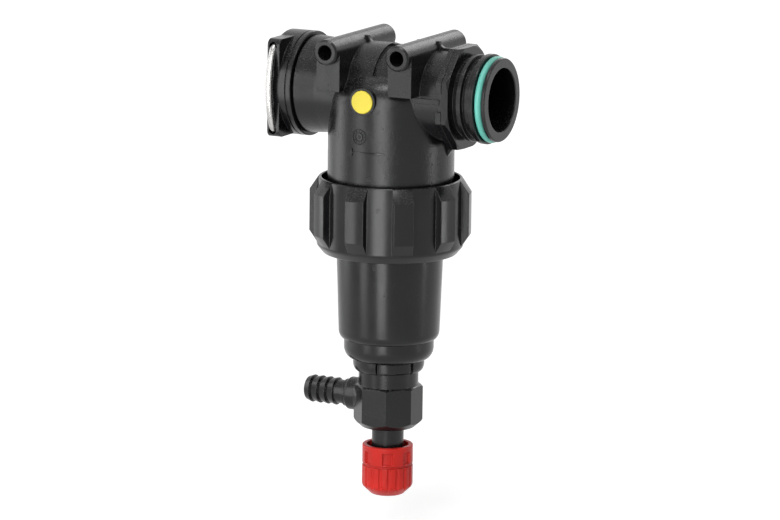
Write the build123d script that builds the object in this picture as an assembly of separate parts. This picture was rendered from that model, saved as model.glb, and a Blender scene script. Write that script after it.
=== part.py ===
from build123d import *
import os
from math import cos, radians, sqrt

# Self-cleaning inline filter of a sprayer line, in millimetres and degrees.
# The frame has X along the flow, from the inlet at -X to the outlet at +X, -Y to the
# front and +Z up. Its origin lies between the two bolt tubes, on the bowl's axis.

# Bolt tubes that hold the filter
bolt_spacing = 44.0
bolt_hole_r = 4.25
bolt_tube_r = 7.1
bolt_tube_front = 39.0
bolt_tube_back = 35.0
bolt_web_drop = 22.0
bolt_web_setback = 4.0
bolt_tube_edge = 1.0

# Head
flow_drop = 24.3
neck_r = 35.4
neck_wall = 4.0
head_height = 106.0
crown_drop = 19.0
crown_r = 17.0
thread_r = 38.4
thread_length = 23.0
thread_chamfer = 1.5
inlet_pipe_r = 26.6
inlet_bell_r = 27.6
outlet_pipe_r = 25.0
elbow_bore_r = 17.0
elbow_wall = 3.2
elbow_length = 53.0
disc_boss_r = 7.6
disc_boss_rise = 0.9
root_fillet = 2.5

# Yellow disc in the front of the neck
disc_drop = 26.0
disc_r = 6.4
disc_t = 2.4
disc_depth = 1.6

# Inlet coupling, a cup for a forked spigot
inlet_end = 48.6
cup_length = 16.2
cup_r = 29.5
cup_band = 2.8
cup_band_groove = 0.7
cup_seat_r = 25.1
cup_seat_length = 2.6
cup_mouth_r = 25.3
cup_mouth_depth = 10.2
cup_seal_r = 23.7
cup_seal_depth = 15.4
cup_bore_r = 17.0
cup_shank_r = 20.8
cup_shank_length = 13.0
cup_rim_notch = 24.0
cup_rim_notch_depth = 3.0
ear_front = 28.4
ear_rise = 27.6
ear_t = 7.4
ear_window = 20.0
ear_window_depth = 1.6

# Fork clip
fork_wire_r = 2.0
fork_half_gap = 23.7
fork_from_mouth = 4.8
fork_bend_r = 4.0
fork_tip_y = 25.0
fork_channel_slack = 0.35

# Outlet spigot
outlet_plate_x = 40.6
outlet_plate_t = 3.2
outlet_across_flats = 56.0
outlet_notch_width = 10.5
outlet_notch_depth = 2.6
spigot_nut_t = 3.8
spigot_core_r = 22.0
spigot_core_length = 2.8
spigot_back_ring_r = 24.2
spigot_back_ring_t = 2.8
spigot_fork_groove_r = 21.5
spigot_fork_groove_w = 4.6
spigot_front_ring_r = 25.0
spigot_front_ring_t = 3.1
spigot_seal_groove_r = 20.0
spigot_seal_groove_w = 4.5
spigot_land_r = 23.3
spigot_land_length = 2.1
spigot_bore_r = 17.75
spigot_shank_r = 20.7
spigot_shank_length = 9.5
outlet_cord_r = 2.0

# Ring nut
nut_height = 42.5
nut_core_r = 41.2
nut_rim_r = 40.3
nut_rib_r = 45.4
nut_rib_count = 10
nut_rib_width = 10.6
nut_rib_phase = 7.9
nut_chamfer_height = 7.6
nut_foot_r = 38.0
nut_foot_height = 4.6
nut_rib_foot_height = 12.8
nut_lip_t = 4.7
nut_bore_r = 38.8
nut_lip_gap = 0.6

# Bowl
bowl_flange_t = 4.2
bowl_flange_r = 37.5
bowl_spigot_r = 31.2
bowl_spigot_height = 9.0
bowl_top_r = 30.1
bowl_foot_r = 28.4
bowl_wall = 2.8
bowl_length = 58.4
bowl_corner_r = 3.0
mid_step_r = 25.3
mid_step_length = 11.6
mid_step_corner = 4.8
collar_r = 20.1
collar_length = 7.0
collar_corner = 2.6
collar_floor_t = 2.4
collar_notch_angle = 36.0
collar_notch_at = -68.0

# Drain body, its hose tail and its lugs
drain_neck_r = 16.85
drain_neck_show = 8.0
drain_octagon_flats = 36.0
drain_octagon_height = 24.2
drain_top_chamfer = 1.2
drain_foot_r = 15.2
drain_foot_height = 3.9
drain_port_r = 6.5
drain_chamber_r = 11.0
drain_seat_t = 10.5
drain_lug_r = 18.7
tail_drop = 8.2
tail_boss_r = 9.3
tail_boss_length = 6.4
tail_boss_round = 1.6
tail_root_r = 6.7
tail_barb_r = 7.9
tail_barb_pitch = 5.0
tail_barb_count = 4
tail_length = 32.5
tail_bore_r = 4.8
tail_tip_r = 6.6

# Bonnet, valve and knob
bonnet_r = 9.0
bonnet_plug_r = 12.4
bonnet_plug_length = 9.0
bonnet_length = 20.5
bonnet_wall_end = 1.2
spindle_r = 4.9
spindle_collar_r = 6.6
plunger_r = 8.6
plunger_length = 7.0
plunger_seal_t = 2.0
valve_travel = 6.0
knob_r = 14.3
knob_skirt_wall = 2.4
knob_gap = 10.6
knob_skirt_depth = 13.0
knob_height = 28.5
knob_groove_drop = 10.6
knob_groove_w = 1.4
knob_groove_depth = 1.1
knob_foot_r = 7.5
knob_rib_count = 18
knob_rib_cut = 1.1
knob_window_count = 8
knob_window_width = 5.4
knob_window_drop = 3.0
knob_hub_r = 7.6
knob_grip_length = 9.0
screw_r = 1.6
screw_head_r = 3.4
screw_head_t = 2.2
screw_length = 9.0

# Cartridge
cartridge_r = 19.6
cartridge_wall = 1.8
cartridge_mesh_t = 0.4
cartridge_collar_r = 24.6
cartridge_collar_height = 10.0
cartridge_ring_count = 5
cartridge_ring_height = 3.0
cartridge_rib_count = 6
cartridge_rib_width = 3.0
cartridge_foot_r = 14.0
cartridge_foot_bore = 9.0
cartridge_foot_length = 5.0

# Seals that are squeezed in a groove
seal_cord = 2.6
seal_squeeze = 0.5

# Clearances
seam_gap = 0.3
slide_gap = 0.25
running_gap = 0.06
seat_gap = 0.2
overlap = 1.0

# Places that follow from the sizes
flow_z = -flow_drop
head_foot = -head_height
bowl_top = head_foot - seam_gap
flange_foot = bowl_top - bowl_flange_t
nut_foot = flange_foot - seam_gap - nut_lip_t
nut_top = nut_foot + nut_height
step_z = bowl_top - bowl_length
collar_top = step_z - mid_step_length
collar_foot = collar_top - collar_length
octagon_top = collar_foot - drain_neck_show
octagon_foot = octagon_top - drain_octagon_height
tail_z = octagon_top - tail_drop
bowl_floor_top = collar_top + collar_floor_t
drain_neck_top = collar_top - slide_gap
seat_z = drain_neck_top - drain_seat_t
plunger_top = seat_z - seat_gap
plunger_foot = plunger_top - plunger_seal_t - plunger_length
bonnet_foot = octagon_foot - bonnet_length
knob_top = octagon_foot - knob_gap
knob_floor = knob_top - knob_skirt_depth
knob_foot = knob_top - knob_height
elbow_foot = flow_z - elbow_length
chamber_r = neck_r - neck_wall
cup_mouth = -inlet_end - cup_length
fork_x = cup_mouth + fork_from_mouth
fork_bridge_y = ear_front + fork_bend_r + slide_gap
outlet_face = outlet_plate_x + outlet_plate_t
spigot_nut_end = outlet_face + seam_gap + spigot_nut_t
groove_depth = seal_cord - seal_squeeze


def profile(points):
    """Closed flat outline from its corners, where a third number rounds that corner."""
    face = make_face(Polyline(*[(p[0], p[1]) for p in points], close=True))
    for p in points:
        if len(p) > 2:
            corner = face.vertices().sort_by_distance((p[0], p[1]))[0]
            face = fillet(corner, p[2])
    return face


def turn_z(points):
    """Solid turned about the upright axis from (radius, height) corners."""
    return revolve(Plane.XZ * profile(points), Axis.Z, 360)


def turn_x(points, z=flow_z):
    """Solid turned about a line along X at height z from (x, radius) corners."""
    return Pos(0, 0, z) * revolve(profile(points), Axis.X, 360)


def rod_z(r, low, high):
    return Pos(0, 0, low) * Cylinder(r, high - low, align=(Align.CENTER, Align.CENTER, Align.MIN))


def rod_x(r, low, high, z=flow_z):
    return Pos(low, 0, z) * Rot(0, 90, 0) * Cylinder(r, high - low, align=(Align.CENTER, Align.CENTER, Align.MIN))


def rod_y(r, low, high, x, z):
    return Pos(x, low, z) * Rot(-90, 0, 0) * Cylinder(r, high - low, align=(Align.CENTER, Align.CENTER, Align.MIN))


def block(low, high):
    """Box between two opposite corners."""
    size = [b - a for a, b in zip(low, high)]
    return Pos(*low) * Box(*size, align=(Align.MIN, Align.MIN, Align.MIN))


def prism_z(across_flats, low, high):
    """Upright eight-sided bar with flats towards X and Y."""
    corner_r = across_flats / 2 / cos(radians(22.5))
    return Pos(0, 0, low) * extrude(RegularPolygon(corner_r, 8, rotation=22.5), high - low)


def prism_x(across_flats, low, high, z=flow_z):
    """Eight-sided bar along X with flats towards Y and Z."""
    corner_r = across_flats / 2 / cos(radians(22.5))
    bar = extrude(RegularPolygon(corner_r, 8, rotation=22.5), high - low)
    return Pos(low, 0, z) * Rot(0, 90, 0) * bar


def squeezed_seal_z(r_in, r_out, z):
    """Ring seal pressed between a groove floor and a wall, about the upright axis."""
    thickness = r_out - r_in
    section = RectangleRounded(thickness, seal_cord, 0.45 * min(thickness, seal_cord))
    return revolve(Plane.XZ * Pos((r_in + r_out) / 2, z) * section, Axis.Z, 360)


def squeezed_seal_x(r_in, r_out, x):
    """The same seal about the flow axis."""
    thickness = r_out - r_in
    section = RectangleRounded(seal_cord, thickness, 0.45 * min(thickness, seal_cord))
    return Pos(0, 0, flow_z) * revolve(Pos(x, (r_in + r_out) / 2) * section, Axis.X, 360)


def groove_z(r_out, r_floor, z):
    """Ring to cut a seal groove about the upright axis."""
    half = seal_cord / 2 + seal_squeeze / 2
    return rod_z(r_out, z - half, z + half) - rod_z(r_floor, z - half, z + half)


def groove_x(r_out, r_floor, x):
    """Ring to cut a seal groove about the flow axis."""
    half = seal_cord / 2 + seal_squeeze / 2
    return rod_x(r_out, x - half, x + half) - rod_x(r_floor, x - half, x + half)


def around_z(shape, count, phase=0.0):
    """The shape repeated evenly about the upright axis."""
    return [Rot(0, 0, phase + 360 * i / count) * shape for i in range(count)]


# Head

def head_outside():
    thread_top = head_foot + thread_length
    neck = turn_z([
        (0, head_foot), (thread_r - thread_chamfer, head_foot), (thread_r, head_foot + thread_chamfer),
        (thread_r, thread_top), (neck_r, thread_top + thread_r - neck_r), (neck_r, -crown_drop, crown_r),
        (0, flow_z + outlet_pipe_r - seam_gap * 8),
    ])
    inlet = turn_x([
        (-inlet_end + seam_gap, 0), (-inlet_end + seam_gap, inlet_bell_r, 1.0), (-neck_r, inlet_pipe_r),
        (0, inlet_pipe_r), (0, 0),
    ])
    outlet = rod_x(outlet_pipe_r, 0, outlet_plate_x + overlap)
    plate = prism_x(outlet_across_flats, outlet_plate_x, outlet_face)
    body = neck + inlet + outlet
    body = body + plate
    for side in (-1, 1):
        x = side * bolt_spacing / 2
        tube = rod_y(bolt_tube_r, -bolt_tube_front, bolt_tube_back, x, 0)
        tube = chamfer(tube.edges().filter_by(GeomType.CIRCLE), bolt_tube_edge)
        web = block(
            (x - bolt_tube_r, -bolt_tube_front + bolt_web_setback, -bolt_web_drop),
            (x + bolt_tube_r, bolt_tube_back - bolt_web_setback, 0),
        )
        body = body + tube + web
    boss = rod_y(disc_boss_r, -neck_r - disc_boss_rise, 0, 0, -disc_drop)
    return body + boss


def head_hollow():
    """Round chamber under a domed roof, less the elbow that leads the inlet into the cartridge."""
    roof = -crown_drop - neck_wall
    chamber = turn_z([
        (0, head_foot - overlap), (chamber_r, head_foot - overlap), (chamber_r, roof, crown_r - neck_wall),
        (0, flow_z + outlet_pipe_r - 2 * neck_wall),
    ])
    elbow_r = elbow_bore_r + elbow_wall
    elbow = rod_x(elbow_r, -neck_r, 0) + Pos(0, 0, flow_z) * Sphere(elbow_r)
    elbow = elbow + rod_z(elbow_r, elbow_foot, flow_z)
    return chamber - elbow


def make_head():
    head = head_outside() - head_hollow()
    inlet_bore = rod_x(elbow_bore_r, -inlet_end, 0) + Pos(0, 0, flow_z) * Sphere(elbow_bore_r)
    head = head - inlet_bore - rod_z(elbow_bore_r, elbow_foot - overlap, flow_z)
    head = head - rod_x(cup_seat_r + running_gap, -inlet_end, -inlet_end + cup_seat_length + seam_gap)
    head = head - rod_x(cup_shank_r + running_gap, -inlet_end, -inlet_end + cup_seat_length + cup_shank_length + seam_gap)
    socket_start = outlet_face - spigot_shank_length - seam_gap
    head = head - rod_x(spigot_shank_r + running_gap, socket_start, outlet_face + overlap)
    head = head - rod_x(spigot_bore_r, chamber_r / 2, outlet_face)
    flat_y = outlet_across_flats / 2
    for side in (-1, 1):
        notch = block(
            (outlet_plate_x, min(side * flat_y, side * (flat_y - outlet_notch_depth)), flow_z - outlet_notch_width / 2),
            (outlet_face + overlap, max(side * flat_y, side * (flat_y - outlet_notch_depth)), flow_z + outlet_notch_width / 2),
        )
        head = head - notch
        head = head - rod_y(bolt_hole_r, -bolt_tube_front - overlap, bolt_tube_back + overlap, side * bolt_spacing / 2, 0)
    pocket_floor = -neck_r - disc_boss_rise + disc_depth
    head = head - rod_y(disc_r + running_gap, -neck_r - disc_boss_rise - overlap, pocket_floor, 0, -disc_drop)
    return head


def make_disc():
    floor = -neck_r - disc_boss_rise + disc_depth
    disc = rod_y(disc_r, floor - disc_t, floor, 0, -disc_drop)
    rim = disc.edges().filter_by(GeomType.CIRCLE).sort_by(Axis.Y)[0]
    return fillet(rim, 0.5)


# Inlet coupling and its fork

def make_cup():
    seat_end = -inlet_end + cup_seat_length
    band_start = -inlet_end - cup_band
    outside = turn_x([
        (cup_mouth, 0), (cup_mouth, cup_r, 1.2), (band_start - cup_band_groove, cup_r),
        (band_start - cup_band_groove, cup_r - cup_band_groove), (band_start, cup_r - cup_band_groove),
        (band_start, cup_r), (-inlet_end, cup_r, 0.6), (-inlet_end, cup_seat_r), (seat_end, cup_seat_r),
        (seat_end, cup_shank_r), (seat_end + cup_shank_length, cup_shank_r, 0.8),
        (seat_end + cup_shank_length, 0),
    ])
    ear_low = cup_mouth + cup_rim_notch_depth / 2
    ears = block((ear_low, -ear_front, flow_z - ear_rise), (ear_low + ear_t, 0, flow_z + ear_rise))
    upright = ears.edges().filter_by(Axis.X).group_by(Axis.Y)[0]
    ears = fillet(upright, fork_bend_r)
    cup = outside + ears
    rim_notch = block(
        (cup_mouth - overlap, -cup_r - overlap, flow_z - cup_rim_notch / 2),
        (cup_mouth + cup_rim_notch_depth, cup_r + overlap, flow_z + cup_rim_notch / 2),
    )
    cup = cup - rim_notch
    window = block(
        (ear_low - overlap, -ear_front - overlap, flow_z - ear_window / 2),
        (ear_low + ear_t / 2, -ear_front + ear_window_depth, flow_z + ear_window / 2),
    )
    cup = cup - window
    lead = 1.2
    inside = turn_x([
        (cup_mouth - overlap, 0), (cup_mouth - overlap, cup_mouth_r + lead + overlap),
        (cup_mouth + lead, cup_mouth_r), (cup_mouth + cup_mouth_depth, cup_mouth_r),
        (cup_mouth + cup_mouth_depth + cup_mouth_r - cup_seal_r, cup_seal_r),
        (cup_mouth + cup_seal_depth, cup_seal_r), (cup_mouth + cup_seal_depth, 0),
    ])
    cup = cup - inside - rod_x(cup_bore_r, cup_mouth, seat_end + cup_shank_length + overlap)
    for side in (-1, 1):
        leg_z = flow_z + side * fork_half_gap
        cup = cup - rod_y(fork_wire_r + fork_channel_slack, -ear_front - overlap, cup_r, fork_x, leg_z)
    groove_at = seat_end + cup_shank_length / 2
    return cup - groove_x(cup_shank_r + overlap, cup_shank_r - groove_depth, groove_at)


def make_cup_seal():
    at = -inlet_end + cup_seat_length + cup_shank_length / 2
    return squeezed_seal_x(cup_shank_r - groove_depth, cup_shank_r + running_gap, at)


def make_fork():
    """Round wire bent twice, swept along its path with a small cone at each leg's tip."""
    low = flow_z - fork_half_gap
    high = flow_z + fork_half_gap
    path = FilletPolyline(
        (fork_x, fork_tip_y, low), (fork_x, -fork_bridge_y, low),
        (fork_x, -fork_bridge_y, high), (fork_x, fork_tip_y, high), radius=fork_bend_r,
    )
    section = Plane((fork_x, fork_tip_y, low), z_dir=(0, -1, 0)) * Circle(fork_wire_r)
    wire = sweep(section, path=path)
    tips = wire.edges().filter_by(GeomType.CIRCLE).group_by(Axis.Y)[-1]
    return chamfer(tips, fork_wire_r / 2)


# Outlet spigot

def spigot_places():
    """Where each ring of the spigot starts along the flow."""
    core_end = spigot_nut_end + spigot_core_length
    back_end = core_end + spigot_back_ring_t
    fork_end = back_end + spigot_fork_groove_w
    front_end = fork_end + spigot_front_ring_t
    seal_end = front_end + spigot_seal_groove_w
    return core_end, back_end, fork_end, front_end, seal_end


def make_spigot():
    core_end, back_end, fork_end, front_end, seal_end = spigot_places()
    tip = seal_end + spigot_land_length
    start = outlet_face - spigot_shank_length
    nut_start = outlet_face + seam_gap
    rings = turn_x([
        (start, spigot_bore_r), (start, spigot_shank_r, 0.6), (nut_start, spigot_shank_r),
        (nut_start, spigot_core_r), (core_end, spigot_core_r), (core_end, spigot_back_ring_r, 0.4),
        (back_end, spigot_back_ring_r, 0.4), (back_end, spigot_fork_groove_r),
        (fork_end, spigot_fork_groove_r), (fork_end, spigot_front_ring_r, 0.4),
        (front_end, spigot_front_ring_r, 0.4), (front_end, spigot_seal_groove_r),
        (seal_end, spigot_seal_groove_r), (seal_end, spigot_land_r, 0.3), (tip, spigot_land_r, 0.9),
        (tip, spigot_bore_r, 0.5),
    ])
    nut = prism_x(outlet_across_flats, nut_start, spigot_nut_end)
    corner_r = outlet_across_flats / 2 / cos(radians(22.5))
    dress = turn_x([
        (nut_start, 0), (nut_start, corner_r + overlap), (nut_start + spigot_nut_t / 2, corner_r + overlap / 2),
        (spigot_nut_end, corner_r - spigot_nut_t / 2), (spigot_nut_end, 0),
    ])
    nut = (nut & dress) - rod_x(spigot_bore_r, nut_start - overlap, spigot_nut_end + overlap)
    spigot = rings + nut
    groove_at = outlet_face - spigot_shank_length / 2
    return spigot - groove_x(spigot_shank_r + overlap, spigot_shank_r - groove_depth + 0.4, groove_at)


def make_spigot_seal():
    at = outlet_face - spigot_shank_length / 2
    return squeezed_seal_x(spigot_shank_r - groove_depth + 0.4, spigot_shank_r + running_gap, at)


def make_outlet_oring():
    _, _, _, front_end, _ = spigot_places()
    centre_x = front_end + spigot_seal_groove_w / 2
    ring_r = spigot_seal_groove_r + outlet_cord_r
    return Pos(centre_x, 0, flow_z) * Rot(0, 90, 0) * Torus(ring_r, outlet_cord_r)


# Ring nut

def make_nut():
    core = turn_z([
        (0, nut_foot), (nut_foot_r, nut_foot, 0.8), (nut_core_r, nut_foot + nut_foot_height, 2.0),
        (nut_core_r, nut_top - nut_chamfer_height), (nut_rim_r, nut_top, 0.5), (0, nut_top),
    ])
    envelope = turn_z([
        (0, nut_foot + nut_foot_height / 2), (nut_foot_r, nut_foot + nut_foot_height / 2),
        (nut_rib_r, nut_foot + nut_rib_foot_height), (nut_rib_r, nut_top - nut_chamfer_height),
        (nut_rim_r, nut_top), (0, nut_top),
    ])
    rib = block((nut_bore_r + 1, -nut_rib_width / 2, nut_foot), (nut_rib_r + overlap, nut_rib_width / 2, nut_top))
    ribs = Part() + around_z(rib, nut_rib_count, nut_rib_phase)
    nut = core + (envelope & ribs)
    lip_top = nut_foot + nut_lip_t
    nut = nut - rod_z(nut_bore_r, lip_top, nut_top + overlap)
    return nut - rod_z(bowl_top_r + nut_lip_gap, nut_foot - overlap, lip_top + overlap)


# Bowl

def collar_notch(r_out, r_in, low, high, angle):
    """Two opposite sectors of a ring, which the bayonet lugs fill."""
    wedge = turn_z_sector(r_out, r_in, low, high, angle)
    return [Rot(0, 0, collar_notch_at - angle / 2 + turn) * wedge for turn in (0, 180)]


def turn_z_sector(r_out, r_in, low, high, angle):
    section = profile([(r_in, low), (r_out, low), (r_out, high), (r_in, high)])
    return revolve(Plane.XZ * section, Axis.Z, angle)


def make_bowl():
    draft_top = flange_foot
    outside = [
        (bowl_spigot_r, bowl_top + bowl_spigot_height, 0.8), (bowl_spigot_r, bowl_top),
        (bowl_flange_r, bowl_top, 0.4), (bowl_flange_r, flange_foot, 0.4), (bowl_top_r, draft_top),
        (bowl_foot_r, step_z, bowl_corner_r), (mid_step_r, step_z),
        (mid_step_r, collar_top, mid_step_corner), (collar_r, collar_top),
        (collar_r, collar_foot, collar_corner),
    ]
    inner_step = step_z + bowl_wall
    inner_mid = mid_step_r - bowl_wall
    inside = [
        (drain_neck_r + slide_gap, collar_foot), (drain_neck_r + slide_gap, collar_top),
        (cartridge_foot_r - bowl_wall, collar_top), (cartridge_foot_r - bowl_wall, bowl_floor_top),
        (inner_mid, bowl_floor_top, 2.0), (inner_mid, inner_step),
        (bowl_foot_r - bowl_wall, inner_step, 1.0), (bowl_top_r - bowl_wall, draft_top),
        (bowl_top_r - bowl_wall, bowl_top + bowl_spigot_height),
    ]
    bowl = turn_z(outside + inside)
    groove_at = bowl_top + bowl_spigot_height / 2
    bowl = bowl - groove_z(bowl_spigot_r + overlap, bowl_spigot_r - groove_depth, groove_at)
    for notch in collar_notch(collar_r + overlap, drain_neck_r, collar_foot - overlap, collar_top, collar_notch_angle):
        bowl = bowl - notch
    return bowl


def make_bowl_seal():
    at = bowl_top + bowl_spigot_height / 2
    return squeezed_seal_z(bowl_spigot_r - groove_depth, chamber_r - running_gap, at)


# Cartridge

def make_cartridge():
    """Moulded cage: collar around the elbow, rings and ribs, and a foot in the drain port."""
    elbow_r = elbow_bore_r + elbow_wall
    collar_low = elbow_foot - 2 * seat_gap - seal_cord
    collar_high = collar_low + cartridge_collar_height
    inner = cartridge_r - cartridge_wall
    collar = turn_z([
        (elbow_r + slide_gap, collar_high), (cartridge_collar_r, collar_high, 0.6),
        (cartridge_collar_r, collar_low - 2.0, 1.0), (inner, collar_low - 2.0), (inner, collar_low),
        (elbow_r + slide_gap, collar_low),
    ])
    foot_top = bowl_floor_top + 4.0
    foot = turn_z([
        (cartridge_foot_bore, bowl_floor_top + seat_gap + seal_cord), (cartridge_foot_r, bowl_floor_top + seat_gap + seal_cord),
        (cartridge_foot_r, foot_top), (cartridge_r, foot_top + 3.0), (inner, foot_top + 5.0),
        (cartridge_foot_bore, foot_top + 1.0),
    ])
    cage_low = foot_top + 4.0
    cage_high = collar_low - 1.0
    cage = collar + foot
    step = (cage_high - cage_low) / (cartridge_ring_count + 1)
    for i in range(1, cartridge_ring_count + 1):
        middle = cage_low + i * step
        ring = rod_z(cartridge_r, middle - cartridge_ring_height / 2, middle + cartridge_ring_height / 2)
        cage = cage + (ring - rod_z(inner, middle - cartridge_ring_height, middle + cartridge_ring_height))
    rib = block(
        (inner, -cartridge_rib_width / 2, cage_low - 2.0),
        (sqrt(cartridge_r ** 2 - (cartridge_rib_width / 2) ** 2), cartridge_rib_width / 2, cage_high + 1.0),
    )
    cage = cage + around_z(rib, cartridge_rib_count)
    return cage, cage_low, cage_high


def make_mesh(low, high):
    tube = rod_z(cartridge_r + cartridge_mesh_t, low - 0.5, high - 1.0)
    return tube - rod_z(cartridge_r, low - overlap, high)


def make_top_seal():
    low = elbow_foot - seat_gap - seal_cord - seat_gap
    ring = rod_z(elbow_bore_r + elbow_wall, low, elbow_foot - seat_gap)
    return ring - rod_z(cartridge_r - cartridge_wall, low, elbow_foot)


def make_foot_seal():
    low = bowl_floor_top
    ring = rod_z(cartridge_foot_r - 0.5, low, low + seat_gap + seal_cord)
    return ring - rod_z(cartridge_foot_r - bowl_wall, low, low + seat_gap + seal_cord)


# Drain body

def tail_profile():
    """Half outline of the hose tail: straight root, then barbs that rise away from the tip."""
    face_x = -drain_octagon_flats / 2
    tip_x = face_x - tail_length
    shape = [(face_x + overlap, 0), (face_x + overlap, tail_boss_r), (face_x - tail_boss_length, tail_boss_r, tail_boss_round)]
    shape.append((face_x - tail_boss_length, tail_root_r, 0.8))
    last = tip_x + 3.8
    for i in reversed(range(tail_barb_count)):
        shoulder = last + i * tail_barb_pitch
        shape.append((shoulder, tail_root_r))
        shape.append((shoulder, tail_barb_r, 0.25))
        end = shoulder - tail_barb_pitch if i else tip_x
        if i:
            shape.append((end, tail_root_r))
    shape = shape + [(tip_x, tail_tip_r, 0.8), (tip_x, 0)]
    kept = []
    for point in shape:
        if not kept or (abs(point[0] - kept[-1][0]) > 0.01 or abs(point[1] - kept[-1][1]) > 0.01):
            kept.append(point)
    return kept


def make_drain_body():
    octagon = prism_z(drain_octagon_flats, octagon_foot, octagon_top)
    corner_r = drain_octagon_flats / 2 / cos(radians(22.5))
    dress = turn_z([
        (0, octagon_foot), (drain_foot_r, octagon_foot, 0.6), (corner_r, octagon_foot + drain_foot_height, 1.0),
        (corner_r, octagon_top - drain_top_chamfer), (corner_r - 2 * drain_top_chamfer, octagon_top),
        (0, octagon_top),
    ])
    body = octagon & dress
    neck = turn_z([
        (0, octagon_top - overlap), (drain_neck_r, octagon_top - overlap), (drain_neck_r, drain_neck_top, 0.8),
        (0, drain_neck_top),
    ])
    body = body + neck + turn_x(tail_profile(), tail_z)
    lug_low = collar_foot + seam_gap * 3
    lug_high = collar_top - seam_gap * 2
    for lug in collar_notch(drain_lug_r, drain_neck_r - overlap, lug_low, lug_high, collar_notch_angle - 4.0):
        body = body + lug
    body = body - rod_z(drain_port_r, seat_z, drain_neck_top + overlap)
    body = body - rod_z(drain_chamber_r, octagon_foot + bonnet_plug_length, seat_z)
    body = body - rod_z(bonnet_plug_r + running_gap, octagon_foot - overlap, octagon_foot + bonnet_plug_length)
    body = body - rod_x(tail_bore_r, -drain_octagon_flats / 2 - tail_length - overlap, 0, tail_z)
    return body - groove_z(drain_neck_r + overlap, drain_neck_r - groove_depth, seal_height())


def seal_height():
    return (collar_top + drain_neck_top) / 2 - 2.6


def make_drain_seal():
    return squeezed_seal_z(drain_neck_r - groove_depth, drain_neck_r + slide_gap, seal_height())


# Bonnet and valve

def bonnet_seal_z():
    return octagon_foot + bonnet_plug_length / 2


def make_bonnet():
    plug_top = octagon_foot + bonnet_plug_length - seam_gap
    bonnet = turn_z([
        (spindle_r + running_gap, plug_top), (bonnet_plug_r, plug_top, 0.6), (bonnet_plug_r, octagon_foot - seam_gap),
        (bonnet_r, octagon_foot - seam_gap), (bonnet_r, bonnet_foot, bonnet_wall_end),
        (spindle_r + running_gap, bonnet_foot),
    ])
    bonnet = bonnet - groove_z(bonnet_plug_r + overlap, bonnet_plug_r - groove_depth, bonnet_seal_z())
    inner = groove_z(spindle_r + groove_depth, spindle_r, bonnet_seal_z())
    return bonnet - inner


def make_bonnet_seal():
    return squeezed_seal_z(bonnet_plug_r - groove_depth, bonnet_plug_r + running_gap, bonnet_seal_z())


def make_spindle_seal():
    return squeezed_seal_z(spindle_r + running_gap, spindle_r + groove_depth, bonnet_seal_z())


def make_plunger():
    """Plunger hooked over the spindle's collar, so that it doesn't turn with it."""
    top = plunger_top - plunger_seal_t
    body = turn_z([
        (0, plunger_foot), (plunger_r, plunger_foot, 0.6), (plunger_r, top, 0.4),
        (0, top),
    ])
    pin = rod_z(2.0, top - overlap, plunger_top - 0.3)
    body = body + pin
    hook = rod_z(spindle_collar_r + running_gap, plunger_foot + 2.0, plunger_foot + 4.2)
    return body - hook - rod_z(spindle_r + slide_gap, plunger_foot - overlap, plunger_foot + 2.0)


def make_plunger_seal():
    ring = rod_z(plunger_r - 0.3, plunger_top - plunger_seal_t, plunger_top)
    return ring - rod_z(2.0, plunger_top - plunger_seal_t, plunger_top)


def make_spindle():
    collar_low = plunger_foot + 2.0 + running_gap
    collar_high = plunger_foot + 4.2 - running_gap
    spindle = rod_z(spindle_r, knob_floor - knob_grip_length, collar_low + 0.5)
    spindle = spindle + rod_z(spindle_collar_r, collar_low, collar_high)
    tip = knob_floor - knob_grip_length
    spindle = spindle - rod_z(screw_r + running_gap, tip - overlap, tip + screw_length + overlap)
    flat = block((spindle_r - 1.0, -spindle_r, tip - overlap), (spindle_r + overlap, spindle_r, tip + knob_grip_length))
    return spindle - flat


def make_knob():
    groove_z_at = knob_top - knob_groove_drop
    inner = knob_r - knob_skirt_wall
    outside = turn_z([
        (0, knob_foot), (knob_foot_r, knob_foot, 2.0), (knob_r, knob_foot + knob_r - knob_foot_r, 3.0),
        (knob_r, groove_z_at - knob_groove_w), (knob_r - knob_groove_depth, groove_z_at - knob_groove_w),
        (knob_r - knob_groove_depth, groove_z_at), (knob_r, groove_z_at), (knob_r, knob_top, 0.6),
        (0, knob_top),
    ])
    rib_cut = Pos(knob_r + 0.35, 0, 0) * rod_z(knob_rib_cut, knob_foot - overlap, groove_z_at)
    for cut in around_z(rib_cut, knob_rib_count):
        outside = outside - cut
    knob = outside - rod_z(inner, knob_floor, knob_top + overlap)
    window = block(
        (inner - overlap, -knob_window_width / 2, groove_z_at + 0.8),
        (knob_r + overlap, knob_window_width / 2, knob_top - knob_window_drop),
    )
    for cut in around_z(window, knob_window_count, 20.0):
        knob = knob - cut
    tip = knob_floor - knob_grip_length
    socket = rod_z(spindle_r + running_gap, tip - running_gap, knob_floor + overlap)
    key = block((spindle_r - 1.0 + running_gap, -spindle_r - 1, tip - overlap), (spindle_r + 1, spindle_r + 1, knob_floor + overlap))
    knob = knob - (socket - key)
    knob = knob - rod_z(screw_r + slide_gap, knob_foot - overlap, tip + overlap)
    return knob - rod_z(screw_head_r + slide_gap, knob_foot - overlap, knob_foot + screw_head_t + 1.0)


def make_screw():
    seat = knob_foot + screw_head_t + 1.0
    head = turn_z([
        (0, seat - screw_head_t), (screw_head_r, seat - screw_head_t, 0.7), (screw_head_r, seat), (0, seat),
    ])
    tip = knob_floor - knob_grip_length
    screw = head + rod_z(screw_r, seat - 0.5, tip + screw_length)
    slot = 0.9
    for turn in (0, 90):
        cut = Rot(0, 0, turn) * block(
            (-screw_head_r * 0.6, -slot / 2, seat - screw_head_t - overlap),
            (screw_head_r * 0.6, slot / 2, seat - screw_head_t / 2),
        )
        screw = screw - cut
    return screw


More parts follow.
